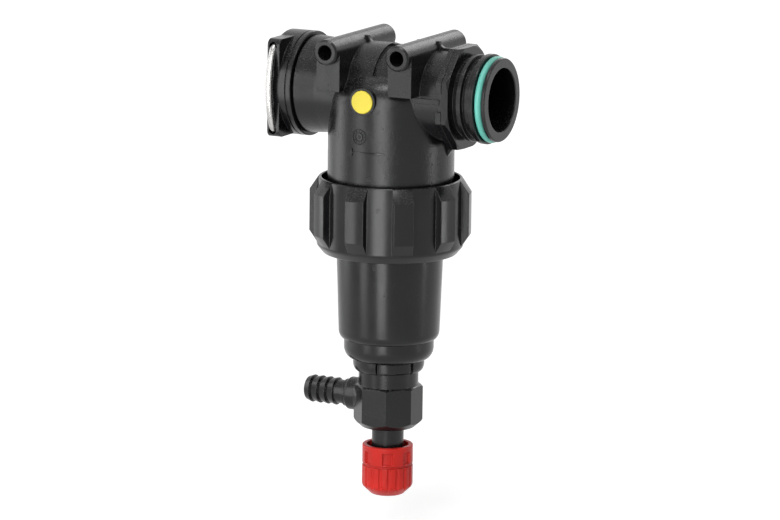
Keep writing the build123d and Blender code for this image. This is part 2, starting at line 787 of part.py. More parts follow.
def make_all():
    cage, cage_low, cage_high = make_cartridge()
    return {
        "filter_head": make_head(),
        "mesh_disc": make_disc(),
        "inlet_coupling": make_cup(),
        "inlet_coupling_seal": make_cup_seal(),
        "fork_clip": make_fork(),
        "outlet_spigot": make_spigot(),
        "outlet_shank_seal": make_spigot_seal(),
        "outlet_oring": make_outlet_oring(),
        "ring_nut": make_nut(),
        "bowl": make_bowl(),
        "bowl_oring": make_bowl_seal(),
        "cartridge_frame": cage,
        "cartridge_mesh": make_mesh(cage_low, cage_high),
        "cartridge_top_seal": make_top_seal(),
        "cartridge_foot_seal": make_foot_seal(),
        "drain_body": make_drain_body(),
        "drain_body_oring": make_drain_seal(),
        "valve_bonnet": make_bonnet(),
        "bonnet_oring": make_bonnet_seal(),
        "spindle_oring": make_spindle_seal(),
        "valve_plunger": make_plunger(),
        "plunger_seal": make_plunger_seal(),
        "valve_spindle": make_spindle(),
        "drain_knob": make_knob(),
        "knob_screw": make_screw(),
    }


os.makedirs("parts", exist_ok=True)
for node, shape in make_all().items():
    export_step(shape, f"parts/{node}.step")
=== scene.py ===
import math

import bmesh
import bpy
import numpy as np
from bpy.props import FloatProperty, FloatVectorProperty, IntProperty, PointerProperty
from mathutils import Matrix, Vector


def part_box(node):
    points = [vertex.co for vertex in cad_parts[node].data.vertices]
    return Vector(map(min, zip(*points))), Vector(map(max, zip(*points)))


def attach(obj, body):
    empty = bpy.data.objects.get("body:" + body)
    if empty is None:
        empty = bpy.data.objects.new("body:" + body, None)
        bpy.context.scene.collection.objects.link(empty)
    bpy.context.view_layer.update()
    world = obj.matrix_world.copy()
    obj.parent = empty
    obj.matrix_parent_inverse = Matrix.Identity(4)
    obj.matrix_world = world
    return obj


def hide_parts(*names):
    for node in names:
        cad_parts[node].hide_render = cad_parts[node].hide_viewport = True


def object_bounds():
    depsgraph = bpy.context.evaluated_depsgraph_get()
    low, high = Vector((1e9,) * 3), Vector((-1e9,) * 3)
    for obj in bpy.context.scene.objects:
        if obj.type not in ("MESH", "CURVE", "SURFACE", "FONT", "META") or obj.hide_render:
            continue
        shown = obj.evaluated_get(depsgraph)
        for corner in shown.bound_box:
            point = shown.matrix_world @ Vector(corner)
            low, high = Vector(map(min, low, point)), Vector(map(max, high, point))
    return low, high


bl_info = {
    "name": "Self-cleaning inline filter",
    "version": (1, 0, 0),
    "blender": (4, 5, 0),
    "location": "3D View > Sidebar > Inline Filter",
    "description": "Finishes and fine moulded details of an inline filter around its fixed solid model",
    "category": "Object",
}

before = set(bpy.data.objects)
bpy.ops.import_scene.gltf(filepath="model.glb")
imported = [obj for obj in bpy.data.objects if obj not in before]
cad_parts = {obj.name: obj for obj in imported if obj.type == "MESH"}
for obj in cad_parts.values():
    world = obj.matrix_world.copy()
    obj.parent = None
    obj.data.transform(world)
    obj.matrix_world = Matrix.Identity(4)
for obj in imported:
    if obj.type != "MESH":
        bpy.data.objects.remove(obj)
cad_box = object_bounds()

CRISP_ANGLE = math.radians(32)  # edges of the new pieces that turn by more than this stay crisp

# Colours of the dust that lies on the finishes
PLASTIC_DUST = (0.22, 0.21, 0.2)
RUBBER_DUST = (0.35, 0.35, 0.33)
SCREEN_DUST = (0.3, 0.28, 0.25)

# Camera: width of its picture in pixels and of its sensor in millimetres, and the shift of the picture's
# middle in pixels
PICTURE_WIDTH = 780.0
SENSOR_WIDTH = 36.0
PICTURE_SHIFT = 0.13

# Floor sheet: radius in metres, rings and columns of its polar grid, and the distances from the middle
# between which its glow rises
FLOOR_RADIUS = 6.0
FLOOR_RINGS = 24
FLOOR_COLUMNS = 96
GLOW_START = 0.3
GLOW_END = 1.4

# Lamps, which look at a point this far below the bolt tubes
AIM_DROP = 0.1
# For each lamp: its name, its turn from the camera's side in degrees, its height above the point and its
# distance from it, its width, its height and the setting with its power
LAMPS = (
    ("front_box", -17.0, 0.05, 0.42, 0.14, 0.50, "front_power"),
    ("side_box", -57.0, 0.05, 0.5, 0.14, 0.56, "side_power"),
    ("left_box", -105.0, 0.10, 0.7, 0.30, 0.66, "left_power"),
    ("right_strip", 80.0, 0.10, 0.7, 0.05, 0.66, "right_power"),
    ("back_box", 150.0, 0.50, 0.9, 0.50, 0.35, "back_power"),
    ("top_lamp", -20.0, 1.20, 0.35, 0.40, 0.40, "top_power"),
)


# Settings


def size(label, text, value, low=0.0, high=10.0):
    """Length property in metres."""
    return FloatProperty(
        name=label, description=text, unit="LENGTH", default=value, min=low, max=high, precision=5)


def turn_property(label, text, degrees):
    """Angle property, given in degrees."""
    return FloatProperty(name=label, description=text, subtype="ANGLE", default=math.radians(degrees))


def colour_property(label, text, value):
    """Colour property, with its red, green and blue as a render reads them."""
    return FloatVectorProperty(
        name=label, description=text, subtype="COLOR", size=3, default=value, min=0.0, max=1.0)


def power_property(label, text, watts):
    """Power property of a lamp, in watts."""
    return FloatProperty(name=label, description=text, unit="POWER", default=watts, min=0.0)


def level_property(label, text, value, low=0.0, high=1.0):
    """Property of a plain level, such as a gloss or a glow."""
    return FloatProperty(name=label, description=text, subtype="FACTOR", default=value, min=low, max=high)


class FilterFinishSettings(bpy.types.PropertyGroup):
    """Colours and surface of the filter's materials"""

    black: colour_property(
        "Black moulding", "Colour of the glass-filled black mouldings", (0.0034, 0.0034, 0.004))
    red: colour_property("Red moulding", "Colour of the drain knob", (0.46, 0.016, 0.011))
    yellow: colour_property("Yellow disc", "Colour of the disc in the neck", (0.55, 0.45, 0.035))
    turquoise: colour_property(
        "Outlet seal", "Colour of the ring seal on the outlet spigot", (0.11, 0.45, 0.37))
    rubber: colour_property("Black rubber", "Colour of the hidden ring seals", (0.012, 0.012, 0.012))
    steel: colour_property(
        "Stainless wire", "Colour of the fork clip and the knob's screw", (0.45, 0.445, 0.435))
    cage: colour_property("Cartridge cage", "Colour of the cartridge's moulded cage", (0.86, 0.78, 0.22))
    grain: size("Grain size", "Size of the fine grain in the mouldings' skin", 0.0007, 0.0001, 0.01)
    gloss: level_property("Roughness", "Mean roughness of the black mouldings", 0.25, 0.05)
    edge_round: size("Edge rounding", "Radius by which the shading softens moulded edges", 0.0006, 0.0, 0.003)


class FilterMarkSettings(bpy.types.PropertyGroup):
    """Small raised marks and the thread of the neck"""

    neck_radius: size("Neck radius", "Radius of the head's neck", 0.0354)
    thread_radius: size("Thread radius", "Radius of the neck's threaded end", 0.0384)
    thread_length: size("Thread length", "Length of the neck's thread", 0.0175)
    thread_pitch: size("Neck thread pitch", "Rise of the neck's thread in one turn", 0.005, 0.001, 0.01)
    thread_height: size(
        "Neck thread height", "Height of the thread's ridge in the nut's clearance", 0.0003, 0.0001, 0.0004)
    arrow_length: size("Arrow length", "Length of the flow arrow round the neck", 0.0195, 0.005, 0.04)
    arrow_height: size(
        "Arrow height", "Height of the flow arrow above the neck's skin", 0.0006, 0.0001, 0.001)
    arrow_turn: turn_property("Arrow place", "Angle of the arrow's middle about the bowl's axis", -85.4)
    arrow_drop: size("Arrow drop", "Height of the arrow below the bolt tubes", 0.0545, 0.03, 0.07)
    dial_turn: turn_property("Mould dial place", "Angle of the plain mould dial about the bowl's axis", -93.7)
    dial_drop: size("Mould dial drop", "Height of the mould dial below the bolt tubes", 0.0457, 0.03, 0.07)
    dial_radius: size("Mould dial radius", "Radius of the mould dial's outer ring", 0.0041, 0.001, 0.01)


class FilterFormSettings(bpy.types.PropertyGroup):
    """Sizes of the pieces that are shaped here over the solid model"""

    nut_core: size("Nut radius", "Radius of the nut between its ribs", 0.0412)
    nut_rim: size("Nut rim", "Radius of the nut's upper rim", 0.0403)
    nut_foot: size("Nut foot", "Radius of the nut's lower end", 0.038)
    nut_bore: size("Nut bore", "Radius of the nut's threaded bore", 0.0388)
    nut_lip: size("Nut lip", "Thickness of the lip that carries the bowl's flange", 0.0047)
    nut_lip_bore: size("Nut lip bore", "Radius of the hole in that lip", 0.0307)
    nut_chamfer: size("Nut chamfer", "Height over which the ribs slope in to the rim", 0.0076)
    rib_rise: size("Rib rise", "Height of the ribs over the nut's skin", 0.0041)
    rib_width: size("Rib width", "Width of one rib", 0.0114)
    rib_foot_low: size("Rib foot", "Height at which the ribs' lower slope starts", 0.0006)
    rib_foot_high: size("Rib foot end", "Height at which the ribs' lower slope ends", 0.0115)
    rib_count: IntProperty(name="Ribs", description="Number of the nut's ribs", default=10, min=3)
    rib_phase: turn_property("Rib place", "Angle of the first rib about the bowl's axis", 18.0)

    bowl_top: size("Bowl top", "Radius of the bowl under its flange", 0.0301)
    bowl_foot: size("Bowl foot", "Radius of the bowl above its first step", 0.0284)
    bowl_wall: size("Bowl wall", "Thickness of the bowl's wall", 0.0028)
    mid_r: size("Middle step", "Radius of the bowl's middle step", 0.0253)
    mid_length: size("Middle length", "Height of the middle step", 0.0116)
    collar_r: size("Collar", "Radius of the bayonet collar", 0.0201)
    collar_length: size("Collar length", "Height of the bayonet collar", 0.007)
    foot_shoulder: size("Upper shoulder", "Height of the shoulder above the middle step", 0.0048)
    mid_shoulder: size("Middle shoulder", "Height of the shoulder above the collar", 0.007)
    collar_shoulder: size("Collar shoulder", "Height of the shoulder at the collar's foot", 0.0048)
    spigot_r: size("Bowl spigot", "Radius of the bowl's spigot in the head", 0.0312)
    spigot_height: size("Bowl spigot height", "Height of that spigot", 0.009)
    groove_depth: size("Seal groove", "Depth of the seal's groove in that spigot", 0.0021)
    groove_width: size("Seal groove width", "Width of that groove", 0.0031)
    flange_r: size("Bowl flange", "Radius of the bowl's flange", 0.0375)
    flange_t: size("Flange thickness", "Thickness of the bowl's flange", 0.0042)
    floor_t: size("Bowl floor", "Thickness of the bowl's floor", 0.0024)
    port_r: size("Drain port", "Radius of the hole in the bowl's floor", 0.0112)
    neck_r: size("Drain neck", "Radius of the drain body's neck in the collar", 0.01685)
    collar_gap: size("Collar gap", "Clearance between the neck and the collar", 0.00025)
    notch_angle: turn_property("Collar opening", "Angle of each opening in the collar", 66.0)
    notch_at: turn_property("Collar opening place", "Angle of the front opening's middle", -52.0)
    lug_r: size("Lug radius", "Radius of the drain body's lugs", 0.01875)
    lug_open_gap: size("Lug open gap", "Gap beside a lug on its open side", 0.0013)
    lug_side_gap: size("Lug side gap", "Gap beside a lug on its other side", 0.0003)
    lug_foot_gap: size("Lug foot gap", "Height of a lug's foot above the collar's", 0.0002)
    lug_top_gap: size("Lug top gap", "Gap above a lug", 0.0006)

    wire_r: size("Wire radius", "Radius of the fork's wire", 0.002)
    fork_bow: size("Fork bow", "How far the middle of the fork's bridge stands out", 0.0055)
    fork_bend: size("Fork bend", "Radius of the fork's bends", 0.005)

    knob_r: size("Knob radius", "Radius of the knob", 0.0143)
    knob_foot_r: size("Knob foot", "Radius of the knob's lower face", 0.0098)
    knob_ledge: size("Knob ledge", "Depth of the knob's groove below its upper rim", 0.0106)
    skirt_wall: size("Skirt wall", "Thickness of the knob's skirt", 0.0024)
    skirt_depth: size("Skirt depth", "Depth of the knob's skirt inside", 0.013)
    socket_r: size("Knob socket", "Radius of the spindle's socket in the knob", 0.00496)
    socket_foot: size("Socket depth", "Depth of that socket below the rim", 0.022)
    screw_bore: size("Screw bore", "Radius of the screw's hole", 0.00185)
    screw_recess: size("Screw recess", "Radius of the recess for the screw's head", 0.00365)
    screw_seat: size("Screw seat", "Depth of that recess", 0.0032)
    grip_count: IntProperty(
        name="Grip grooves", description="Number of the knob's grooves", default=18, min=3)
    grip_cut: size("Grip groove", "Radius of one groove of the grip", 0.0011)
    grip_offset: size("Grip offset", "How far a groove's centre lies outside the knob", 0.00035)
    recess_count: IntProperty(
        name="Recesses", description="Number of recesses in the skirt", default=7, min=1)
    recess_phase: turn_property("Recess place", "Angle of the first recess", -63.5)
    recess_width: size("Recess width", "Width of one recess", 0.0054)
    recess_depth: size("Recess depth", "Depth of one recess", 0.0012)

    tail_drop: size("Tail drop", "Depth of the hose tail's axis below the bolt tubes", 0.1995)
    flare_tip: size("Flare tip", "Distance of the flare's thin end from the bowl's axis", 0.0262)
    flare_root: size("Flare root", "Distance of the flare's root from the bowl's axis", 0.0135)
    flare_tip_r: size("Flare tip radius", "Radius of the flare's thin end", 0.0078)
    flare_root_r: size("Flare root radius", "Radius of the flare's root", 0.0114)

    tube_spacing: size("Tube spacing", "Distance between the bolt tubes", 0.044)
    tube_r: size("Tube radius", "Radius of the bolt tubes", 0.0071)
    rib_corner: size("Rib corner", "Radius by which the crown rib climbs the tubes", 0.0035)
    rib_top: size("Rib top", "Height of the crown rib above the tubes' axes", 0.0018)
    rib_depth: size("Rib depth", "How far the crown rib reaches down into the head", 0.019)
    rib_t: size("Head rib", "Thickness of the crown rib and of the gusset", 0.0024)
    plate_x: size("Outlet plate", "Place of the outlet's plate along the flow", 0.0416)
    flow_drop: size("Flow axis", "Depth of the flow's axis below the tubes", 0.0243)
    pipe_r: size("Outlet pipe", "Radius of the outlet's pipe", 0.025)
    chamber_r: size("Gusset start", "Place where the gusset leaves the neck", 0.0314)
    gusset_low: size("Gusset foot", "Depth of the gusset's foot at the neck", 0.064)
    gusset_tip: size("Gusset tip", "Depth of the gusset's tip at the plate", 0.051)
    side_rib_start: size("Side rib start", "Where the low ribs beside the outlet start", 0.025)


class FilterStudioSettings(bpy.types.PropertyGroup):
    """Camera, floor and lamps"""

    azimuth: turn_property("Azimuth", "Camera's turn about the object from its front", 26.5)
    pitch: turn_property("Pitch", "Camera's height angle above the horizon", 11.38)
    roll: turn_property("Roll", "Camera's turn about its own line of sight", 0.684)
    distance: size("Distance", "Camera's distance from the object's middle", 2.4997, 0.5)
    middle_drop: size("Middle", "Height of the point looked at, below the bolt tubes", 0.12062, 0.0, 0.3)
    pixel_size: FloatProperty(
        name="Scale", description="Width of one pixel of the picture at the object, in metres",
        default=0.00056, min=0.0001, max=0.01, precision=6)
    front_power: power_property("Front box", "Power of the upright lamp beside the camera", 1.5)
    side_power: power_property("Side box", "Power of the upright lamp between the front and the left", 1.0)
    left_power: power_property("Left box", "Power of the broad lamp at the left", 1.6)
    right_power: power_property("Right strip", "Power of the narrow lamp at the right", 1.2)
    back_power: power_property("Back box", "Power of the broad lamp behind the object", 1.3)
    top_power: power_property("Top lamp", "Power of the lamp above", 5.0)
    world_level: level_property("Room light", "Level of the light from all round", 0.22, 0.0, 2.0)
    floor_colour: colour_property("Floor", "Colour of the floor", (0.55, 0.55, 0.55))
    floor_gap: size("Floor gap", "Room under the object for the parts that sink as the nut opens", 0.0225)
    floor_glow: level_property("Floor glow", "Light that the floor shows of itself near the object", 0.66)
    far_glow: level_property("Far glow", "Light that the floor shows of itself far out", 0.97)


# Node tools


def add_node(tree, kind, at=(0, 0), inputs=None, **settings):
    """New node in a tree, with its settings and the values of its unlinked inputs."""
    node = tree.nodes.new(kind)
    node.location = at
    for name, value in settings.items():
        setattr(node, name, value)
    for name, value in (inputs or {}).items():
        node.inputs[name].default_value = value
    return node


def new_group(name, inputs, outputs):
    """Shader node group with named inputs (name, kind, value) and outputs (name, kind)."""
    tree = bpy.data.node_groups.new(name, "ShaderNodeTree")
    for label, kind, value in inputs:
        socket = tree.interface.new_socket(label, in_out="INPUT", socket_type=kind)
        if value is not None:
            socket.default_value = value
    for label, kind in outputs:
        tree.interface.new_socket(label, in_out="OUTPUT", socket_type=kind)
    given = add_node(tree, "NodeGroupInput", (-900, 0))
    return tree, given, add_node(tree, "NodeGroupOutput", (700, 0))


def maths(tree, operation, a, b=None, at=(0, 0), clamp=False):
    """Math node of two values or sockets, which gives its output socket."""
    node = add_node(tree, "ShaderNodeMath", at, operation=operation, use_clamp=clamp)
    for socket, value in zip(node.inputs, (a, b)):
        if isinstance(value, bpy.types.NodeSocket):
            tree.links.new(value, socket)
        elif value is not None:
            socket.default_value = value
    return node.outputs[0]


def ramp(tree, source, low, high, at=(0, 0)):
    """Smooth step of a socket from 0 at low to 1 at high."""
    node = add_node(
        tree, "ShaderNodeMapRange", at, interpolation_type="SMOOTHSTEP",
        inputs={"From Min": low, "From Max": high})
    tree.links.new(source, node.inputs["Value"])
    return node.outputs["Result"]


def seen_rays(tree, x, y):
    """1 for rays of the camera and of mirrored or refracted views, 0 for the light on other things."""
    path = add_node(tree, "ShaderNodeLightPath", (x, y))
    seen = maths(tree, "MAXIMUM", path.outputs["Is Camera Ray"], path.outputs["Is Glossy Ray"], (x + 200, y))
    return maths(tree, "MAXIMUM", seen, path.outputs["Is Transmission Ray"], (x + 400, y))


def moulded_grain():
    """Skin of a moulded plastic: fine grain, soft flow marks that run with the fill, and uneven gloss.

    Height is fine noise plus half as much coarse noise; Gloss Shift is the coarse noise about 0;
    Shade is the wide noise, which lightens the colour in patches."""
    tree, given, out = new_group(
        "moulded_grain",
        [("Grain Size", "NodeSocketFloat", 0.0007), ("Flow Size", "NodeSocketFloat", 0.006)],
        [("Height", "NodeSocketFloat"), ("Gloss Shift", "NodeSocketFloat"), ("Shade", "NodeSocketFloat")])
    place = add_node(tree, "ShaderNodeTexCoord", (-900, 300)).outputs["Object"]
    stretch = add_node(tree, "ShaderNodeMapping", (-700, 300), inputs={"Scale": (1.0, 1.0, 0.45)})
    tree.links.new(place, stretch.inputs["Vector"])
    fine = add_node(tree, "ShaderNodeTexNoise", (-400, 300), inputs={"Detail": 4.0, "Roughness": 0.62})
    coarse = add_node(tree, "ShaderNodeTexNoise", (-400, 0), inputs={"Detail": 3.0, "Roughness": 0.55})
    wide = add_node(tree, "ShaderNodeTexNoise", (-400, -300), inputs={"Scale": 26.0, "Detail": 2.0})
    tree.links.new(place, fine.inputs["Vector"])
    tree.links.new(stretch.outputs[0], coarse.inputs["Vector"])
    tree.links.new(place, wide.inputs["Vector"])
    for noise, label, y in ((fine, "Grain Size", 200), (coarse, "Flow Size", -100)):
        tree.links.new(maths(tree, "DIVIDE", 1.0, given.outputs[label], (-600, y)), noise.inputs["Scale"])
    half = maths(tree, "MULTIPLY", coarse.outputs["Fac"], 0.5, (-150, 150))
    tree.links.new(maths(tree, "ADD", fine.outputs["Fac"], half, (100, 250)), out.inputs["Height"])
    about = maths(tree, "SUBTRACT", coarse.outputs["Fac"], 0.5, (-150, 0))
    tree.links.new(maths(tree, "MULTIPLY", about, 0.22, (100, 0)), out.inputs["Gloss Shift"])
    tree.links.new(ramp(tree, wide.outputs["Fac"], 0.35, 0.7, (100, -250)), out.inputs["Shade"])
    return tree


def worn_edges():
    """Bright rubbed edges: where the rounded normal turns away from the true one, broken up by noise.

    Edge is 1 on a rubbed edge; Normal is the rounded normal, which softens every moulded edge."""
    tree, given, out = new_group(
        "worn_edges",
        [("Radius", "NodeSocketFloat", 0.0006), ("Amount", "NodeSocketFloat", 0.5)],
        [("Edge", "NodeSocketFloat"), ("Normal", "NodeSocketVector")])
    rounded = add_node(tree, "ShaderNodeBevel", (-600, 100), samples=6)
    tree.links.new(given.outputs["Radius"], rounded.inputs["Radius"])
    true_normal = add_node(tree, "ShaderNodeNewGeometry", (-600, -100)).outputs["Normal"]
    dot = add_node(tree, "ShaderNodeVectorMath", (-350, 0), operation="DOT_PRODUCT")
    tree.links.new(rounded.outputs[0], dot.inputs[0])
    tree.links.new(true_normal, dot.inputs[1])
    bent = ramp(tree, maths(tree, "SUBTRACT", 1.0, dot.outputs["Value"], (-150, 0)), 0.01, 0.16, (0, 0))
    place = add_node(tree, "ShaderNodeTexCoord", (-600, -300)).outputs["Object"]
    patches = add_node(tree, "ShaderNodeTexNoise", (-350, -300), inputs={"Scale": 420.0, "Detail": 4.0})
    tree.links.new(place, patches.inputs["Vector"])
    broken = ramp(tree, patches.outputs["Fac"], 0.42, 0.68, (0, -300))
    rubbed = maths(tree, "MULTIPLY", bent, broken, (250, -100))
    tree.links.new(maths(tree, "MULTIPLY", rubbed, given.outputs["Amount"], (450, -100)), out.inputs["Edge"])
    tree.links.new(rounded.outputs[0], out.inputs["Normal"])
    return tree


def handling_marks():
    """Faint scuffs and dust from handling: thin stretched noise cut to hairlines, and a fine speckle.

    Scuff is 1 on a hairline; Dust is the speckle, thicker on faces that look up."""
    tree, given, out = new_group(
        "handling_marks",
        [("Scuffs", "NodeSocketFloat", 0.5), ("Dust", "NodeSocketFloat", 0.3)],
        [("Scuff", "NodeSocketFloat"), ("Dust", "NodeSocketFloat")])
    place = add_node(tree, "ShaderNodeTexCoord", (-900, 200)).outputs["Object"]
    stretch = add_node(
        tree, "ShaderNodeMapping", (-700, 200),
        inputs={"Rotation": (0.5, 0.9, 0.3), "Scale": (40.0, 700.0, 160.0)})
    tree.links.new(place, stretch.inputs["Vector"])
    lines = add_node(tree, "ShaderNodeTexNoise", (-450, 200), inputs={"Scale": 1.0, "Detail": 2.0})
    tree.links.new(stretch.outputs[0], lines.inputs["Vector"])
    hair = ramp(tree, lines.outputs["Fac"], 0.66, 0.72, (-200, 200))
    tree.links.new(maths(tree, "MULTIPLY", hair, given.outputs["Scuffs"], (100, 200)), out.inputs["Scuff"])
    specks = add_node(tree, "ShaderNodeTexNoise", (-450, -150), inputs={"Scale": 1900.0, "Detail": 2.0})
    tree.links.new(place, specks.inputs["Vector"])
    up = add_node(tree, "ShaderNodeSeparateXYZ", (-450, -400))
    tree.links.new(add_node(tree, "ShaderNodeNewGeometry", (-700, -400)).outputs["Normal"], up.inputs[0])
    facing = ramp(tree, up.outputs["Z"], 0.1, 1.0, (-200, -400))
    grains = ramp(tree, specks.outputs["Fac"], 0.52, 0.7, (-200, -150))
    dusty = maths(tree, "MULTIPLY", grains, facing, (100, -200))
    tree.links.new(maths(tree, "MULTIPLY", dusty, given.outputs["Dust"], (300, -200)), out.inputs["Dust"])
    return tree


def drawn_streaks():
    """Drawn wire: fine streaks that follow the piece's long direction, with a few darker bands.

    Streak is stretched noise about 0.5, for the roughness, the colour and the bump alike."""
    tree, given, out = new_group(
        "drawn_streaks",
        [("Stretch", "NodeSocketVector", (3000.0, 120.0, 120.0))],
        [("Streak", "NodeSocketFloat")])
    place = add_node(tree, "ShaderNodeTexCoord", (-900, 0)).outputs["Object"]
    scaled = add_node(tree, "ShaderNodeVectorMath", (-650, 0), operation="MULTIPLY")
    tree.links.new(place, scaled.inputs[0])
    tree.links.new(given.outputs["Stretch"], scaled.inputs[1])
    noise = add_node(
        tree, "ShaderNodeTexNoise", (-400, 0), inputs={"Scale": 1.0, "Detail": 5.0, "Roughness": 0.6})
    tree.links.new(scaled.outputs[0], noise.inputs["Vector"])
    tree.links.new(noise.outputs["Fac"], out.inputs["Streak"])
    return tree


def woven_screen():
    """Plain weave of fine wires over the piece's own UV map, with two wires to a unit of the map.

    A wire's height is the cosine across it without its sign, raised and lowered along it by the sine of
    the other direction, so that wires pass over and under each other. Cover is 1 on a wire, where that
    cosine is over one less the wires' share, and 0 in a hole."""
    tree, given, out = new_group(
        "woven_screen",
        [("Wire Share", "NodeSocketFloat", 0.55)],
        [("Height", "NodeSocketFloat"), ("Cover", "NodeSocketFloat")])
    split = add_node(tree, "ShaderNodeSeparateXYZ", (-700, 0))
    pitches = add_node(tree, "ShaderNodeUVMap", (-900, 0), uv_map="pitches").outputs[0]
    tree.links.new(pitches, split.inputs[0])
    across = []
    for axis, other, sign, y in (("X", "Y", 1.0, 200), ("Y", "X", -1.0, -200)):
        turn = maths(tree, "MULTIPLY", split.outputs[axis], 2 * math.pi, (-500, y))
        ridge = maths(tree, "ABSOLUTE", maths(tree, "COSINE", turn, None, (-300, y)), None, (-100, y))
        along = maths(tree, "MULTIPLY", split.outputs[other], math.pi, (-500, y - 100))
        sway = maths(tree, "SINE", along, None, (-300, y - 100))
        lift = maths(tree, "MULTIPLY", sway, 0.3 * sign, (-100, y - 100))
        across.append((ridge, maths(tree, "ADD", ridge, lift, (100, y))))
    tree.links.new(maths(tree, "MAXIMUM", across[0][1], across[1][1], (300, 0)), out.inputs["Height"])
    widest = maths(tree, "MAXIMUM", across[0][0], across[1][0], (300, -200))
    edge = maths(tree, "SUBTRACT", 1.0, given.outputs["Wire Share"], (300, -350))
    tree.links.new(maths(tree, "GREATER_THAN", widest, edge, (500, -200)), out.inputs["Cover"])
    return tree


def group_node(tree, name, at, **values):
    """A shared effect placed in a material, with this material's own values."""
    node = add_node(tree, "ShaderNodeGroup", at, node_tree=bpy.data.node_groups[name])
    for label, value in values.items():
        node.inputs[label.replace("_", " ").title()].default_value = value
    return node


def new_material(name, colour):
    """Empty material with a principled shader, whose viewport colour is the finish's own."""
    material = bpy.data.materials.new(name)
    material.use_nodes = True
    material.diffuse_color = (*colour, 1.0)
    tree = material.node_tree
    tree.nodes.clear()
    shader = add_node(tree, "ShaderNodeBsdfPrincipled", (400, 0))
    out = add_node(tree, "ShaderNodeOutputMaterial", (750, 0))
    tree.links.new(shader.outputs[0], out.inputs["Surface"])
    return material, tree, shader


def mixed(tree, factor, first, second, at):
    """Colour mix of two colours or sockets by a factor."""
    node = add_node(tree, "ShaderNodeMix", at, data_type="RGBA")
    tree.links.new(factor, node.inputs["Factor"])
    for slot, value in ((6, first), (7, second)):
        if isinstance(value, bpy.types.NodeSocket):
            tree.links.new(value, node.inputs[slot])
        else:
            node.inputs[slot].default_value = (*value, 1.0)
    return node.outputs[2]


def link_relief(tree, shader, height, distance, strength=1.0, normal=None):
    """Bump from a height socket to a shader, over the true normal or a given one."""
    relief = add_node(
        tree, "ShaderNodeBump", (100, -250), inputs={"Strength": strength, "Distance": distance})
    tree.links.new(height, relief.inputs["Height"])
    if normal is not None:
        tree.links.new(normal, relief.inputs["Normal"])
    tree.links.new(relief.outputs[0], shader.inputs["Normal"])


def lighter(colour, factor, lift=0.0):
    """A colour times a factor, raised by a small grey."""
    return tuple(min(1.0, c * factor + lift) for c in colour)


def moulded_plastic(name, colour, roughness, grain, bump=0.00002, rubbed=None, scuffs=0.5, dust=0.3,
                    edge_amount=0.5, specular=0.3, rounding=None):
    """Moulded plastic with grain, flow marks, rubbed edges, scuffs and a little dust.

    The roughness is the given one plus the grain's gloss shift, 0.16 on a scuff and 0.3 on dust. The
    relief is the grain's height less 0.4 on a scuff, times the bump's distance."""
    rounding = rounding or bpy.context.scene.filter_finish.edge_round
    material, tree, shader = new_material(name, colour)
    shader.inputs["Specular IOR Level"].default_value = specular
    skin = group_node(tree, "moulded_grain", (-700, 200), grain_size=grain, flow_size=0.006)
    edges = group_node(tree, "worn_edges", (-700, -50), radius=rounding, amount=edge_amount)
    marks = group_node(tree, "handling_marks", (-700, -300), scuffs=scuffs, dust=dust)
    base = mixed(tree, skin.outputs["Shade"], colour, lighter(colour, 1.35, 0.0012), (-400, 300))
    rubbed = rubbed or lighter(colour, 2.2, 0.035)
    base = mixed(tree, edges.outputs["Edge"], base, rubbed, (-200, 300))
    base = mixed(tree, marks.outputs["Dust"], base, PLASTIC_DUST, (0, 300))
    tree.links.new(base, shader.inputs["Base Color"])
    scuffed = maths(tree, "MULTIPLY", marks.outputs["Scuff"], 0.16, (-400, -100))
    dusted = maths(tree, "MULTIPLY", marks.outputs["Dust"], 0.3, (-400, -200))
    rough = maths(tree, "ADD", skin.outputs["Gloss Shift"], roughness, (-400, 50))
    rough = maths(tree, "ADD", rough, scuffed, (-200, 50))
    rough = maths(tree, "ADD", rough, dusted, (0, 50), clamp=True)
    tree.links.new(rough, shader.inputs["Roughness"])
    scratch = maths(tree, "MULTIPLY", marks.outputs["Scuff"], 0.4, (-400, -350))
    height = maths(tree, "SUBTRACT", skin.outputs["Height"], scratch, (-200, -250))
    link_relief(tree, shader, height, bump, normal=edges.outputs["Normal"])
    return material


def seal_rubber(name, colour, roughness):
    """Smooth moulded rubber: low sheen, faint bloom in patches and a very fine grain."""
    material, tree, shader = new_material(name, colour)
    shader.inputs["Specular IOR Level"].default_value = 0.4
    skin = group_node(tree, "moulded_grain", (-700, 200), grain_size=0.0004, flow_size=0.004)
    marks = group_node(tree, "handling_marks", (-700, -200), scuffs=0.3, dust=0.5)
    base = mixed(tree, skin.outputs["Shade"], colour, lighter(colour, 1.12, 0.008), (-300, 200))
    base = mixed(tree, marks.outputs["Dust"], base, RUBBER_DUST, (-100, 200))
    tree.links.new(base, shader.inputs["Base Color"])
    rough = maths(tree, "ADD", skin.outputs["Gloss Shift"], roughness, (-100, 0))
    tree.links.new(rough, shader.inputs["Roughness"])
    link_relief(tree, shader, skin.outputs["Height"], 0.000012)
    return material


def bright_wire(name, colour, stretch):
    """Bright drawn stainless wire with streaks along it."""
    material, tree, shader = new_material(name, colour)
    shader.inputs["Metallic"].default_value = 1.0
    streaks = group_node(tree, "drawn_streaks", (-700, 0), stretch=stretch)
    marks = group_node(tree, "handling_marks", (-700, -250), scuffs=0.15, dust=0.2)
    tone = ramp(tree, streaks.outputs["Streak"], 0.3, 0.75, (-450, 100))
    base = mixed(tree, tone, lighter(colour, 0.8), lighter(colour, 0.96), (-200, 200))
    base = mixed(tree, marks.outputs["Scuff"], base, lighter(colour, 0.6), (0, 200))
    tree.links.new(base, shader.inputs["Base Color"])
    rough = maths(tree, "MULTIPLY", tone, 0.14, (-200, 0))
    tree.links.new(maths(tree, "ADD", rough, 0.2, (0, 0)), shader.inputs["Roughness"])
    link_relief(tree, shader, streaks.outputs["Streak"], 0.000002, strength=0.6)
    return material


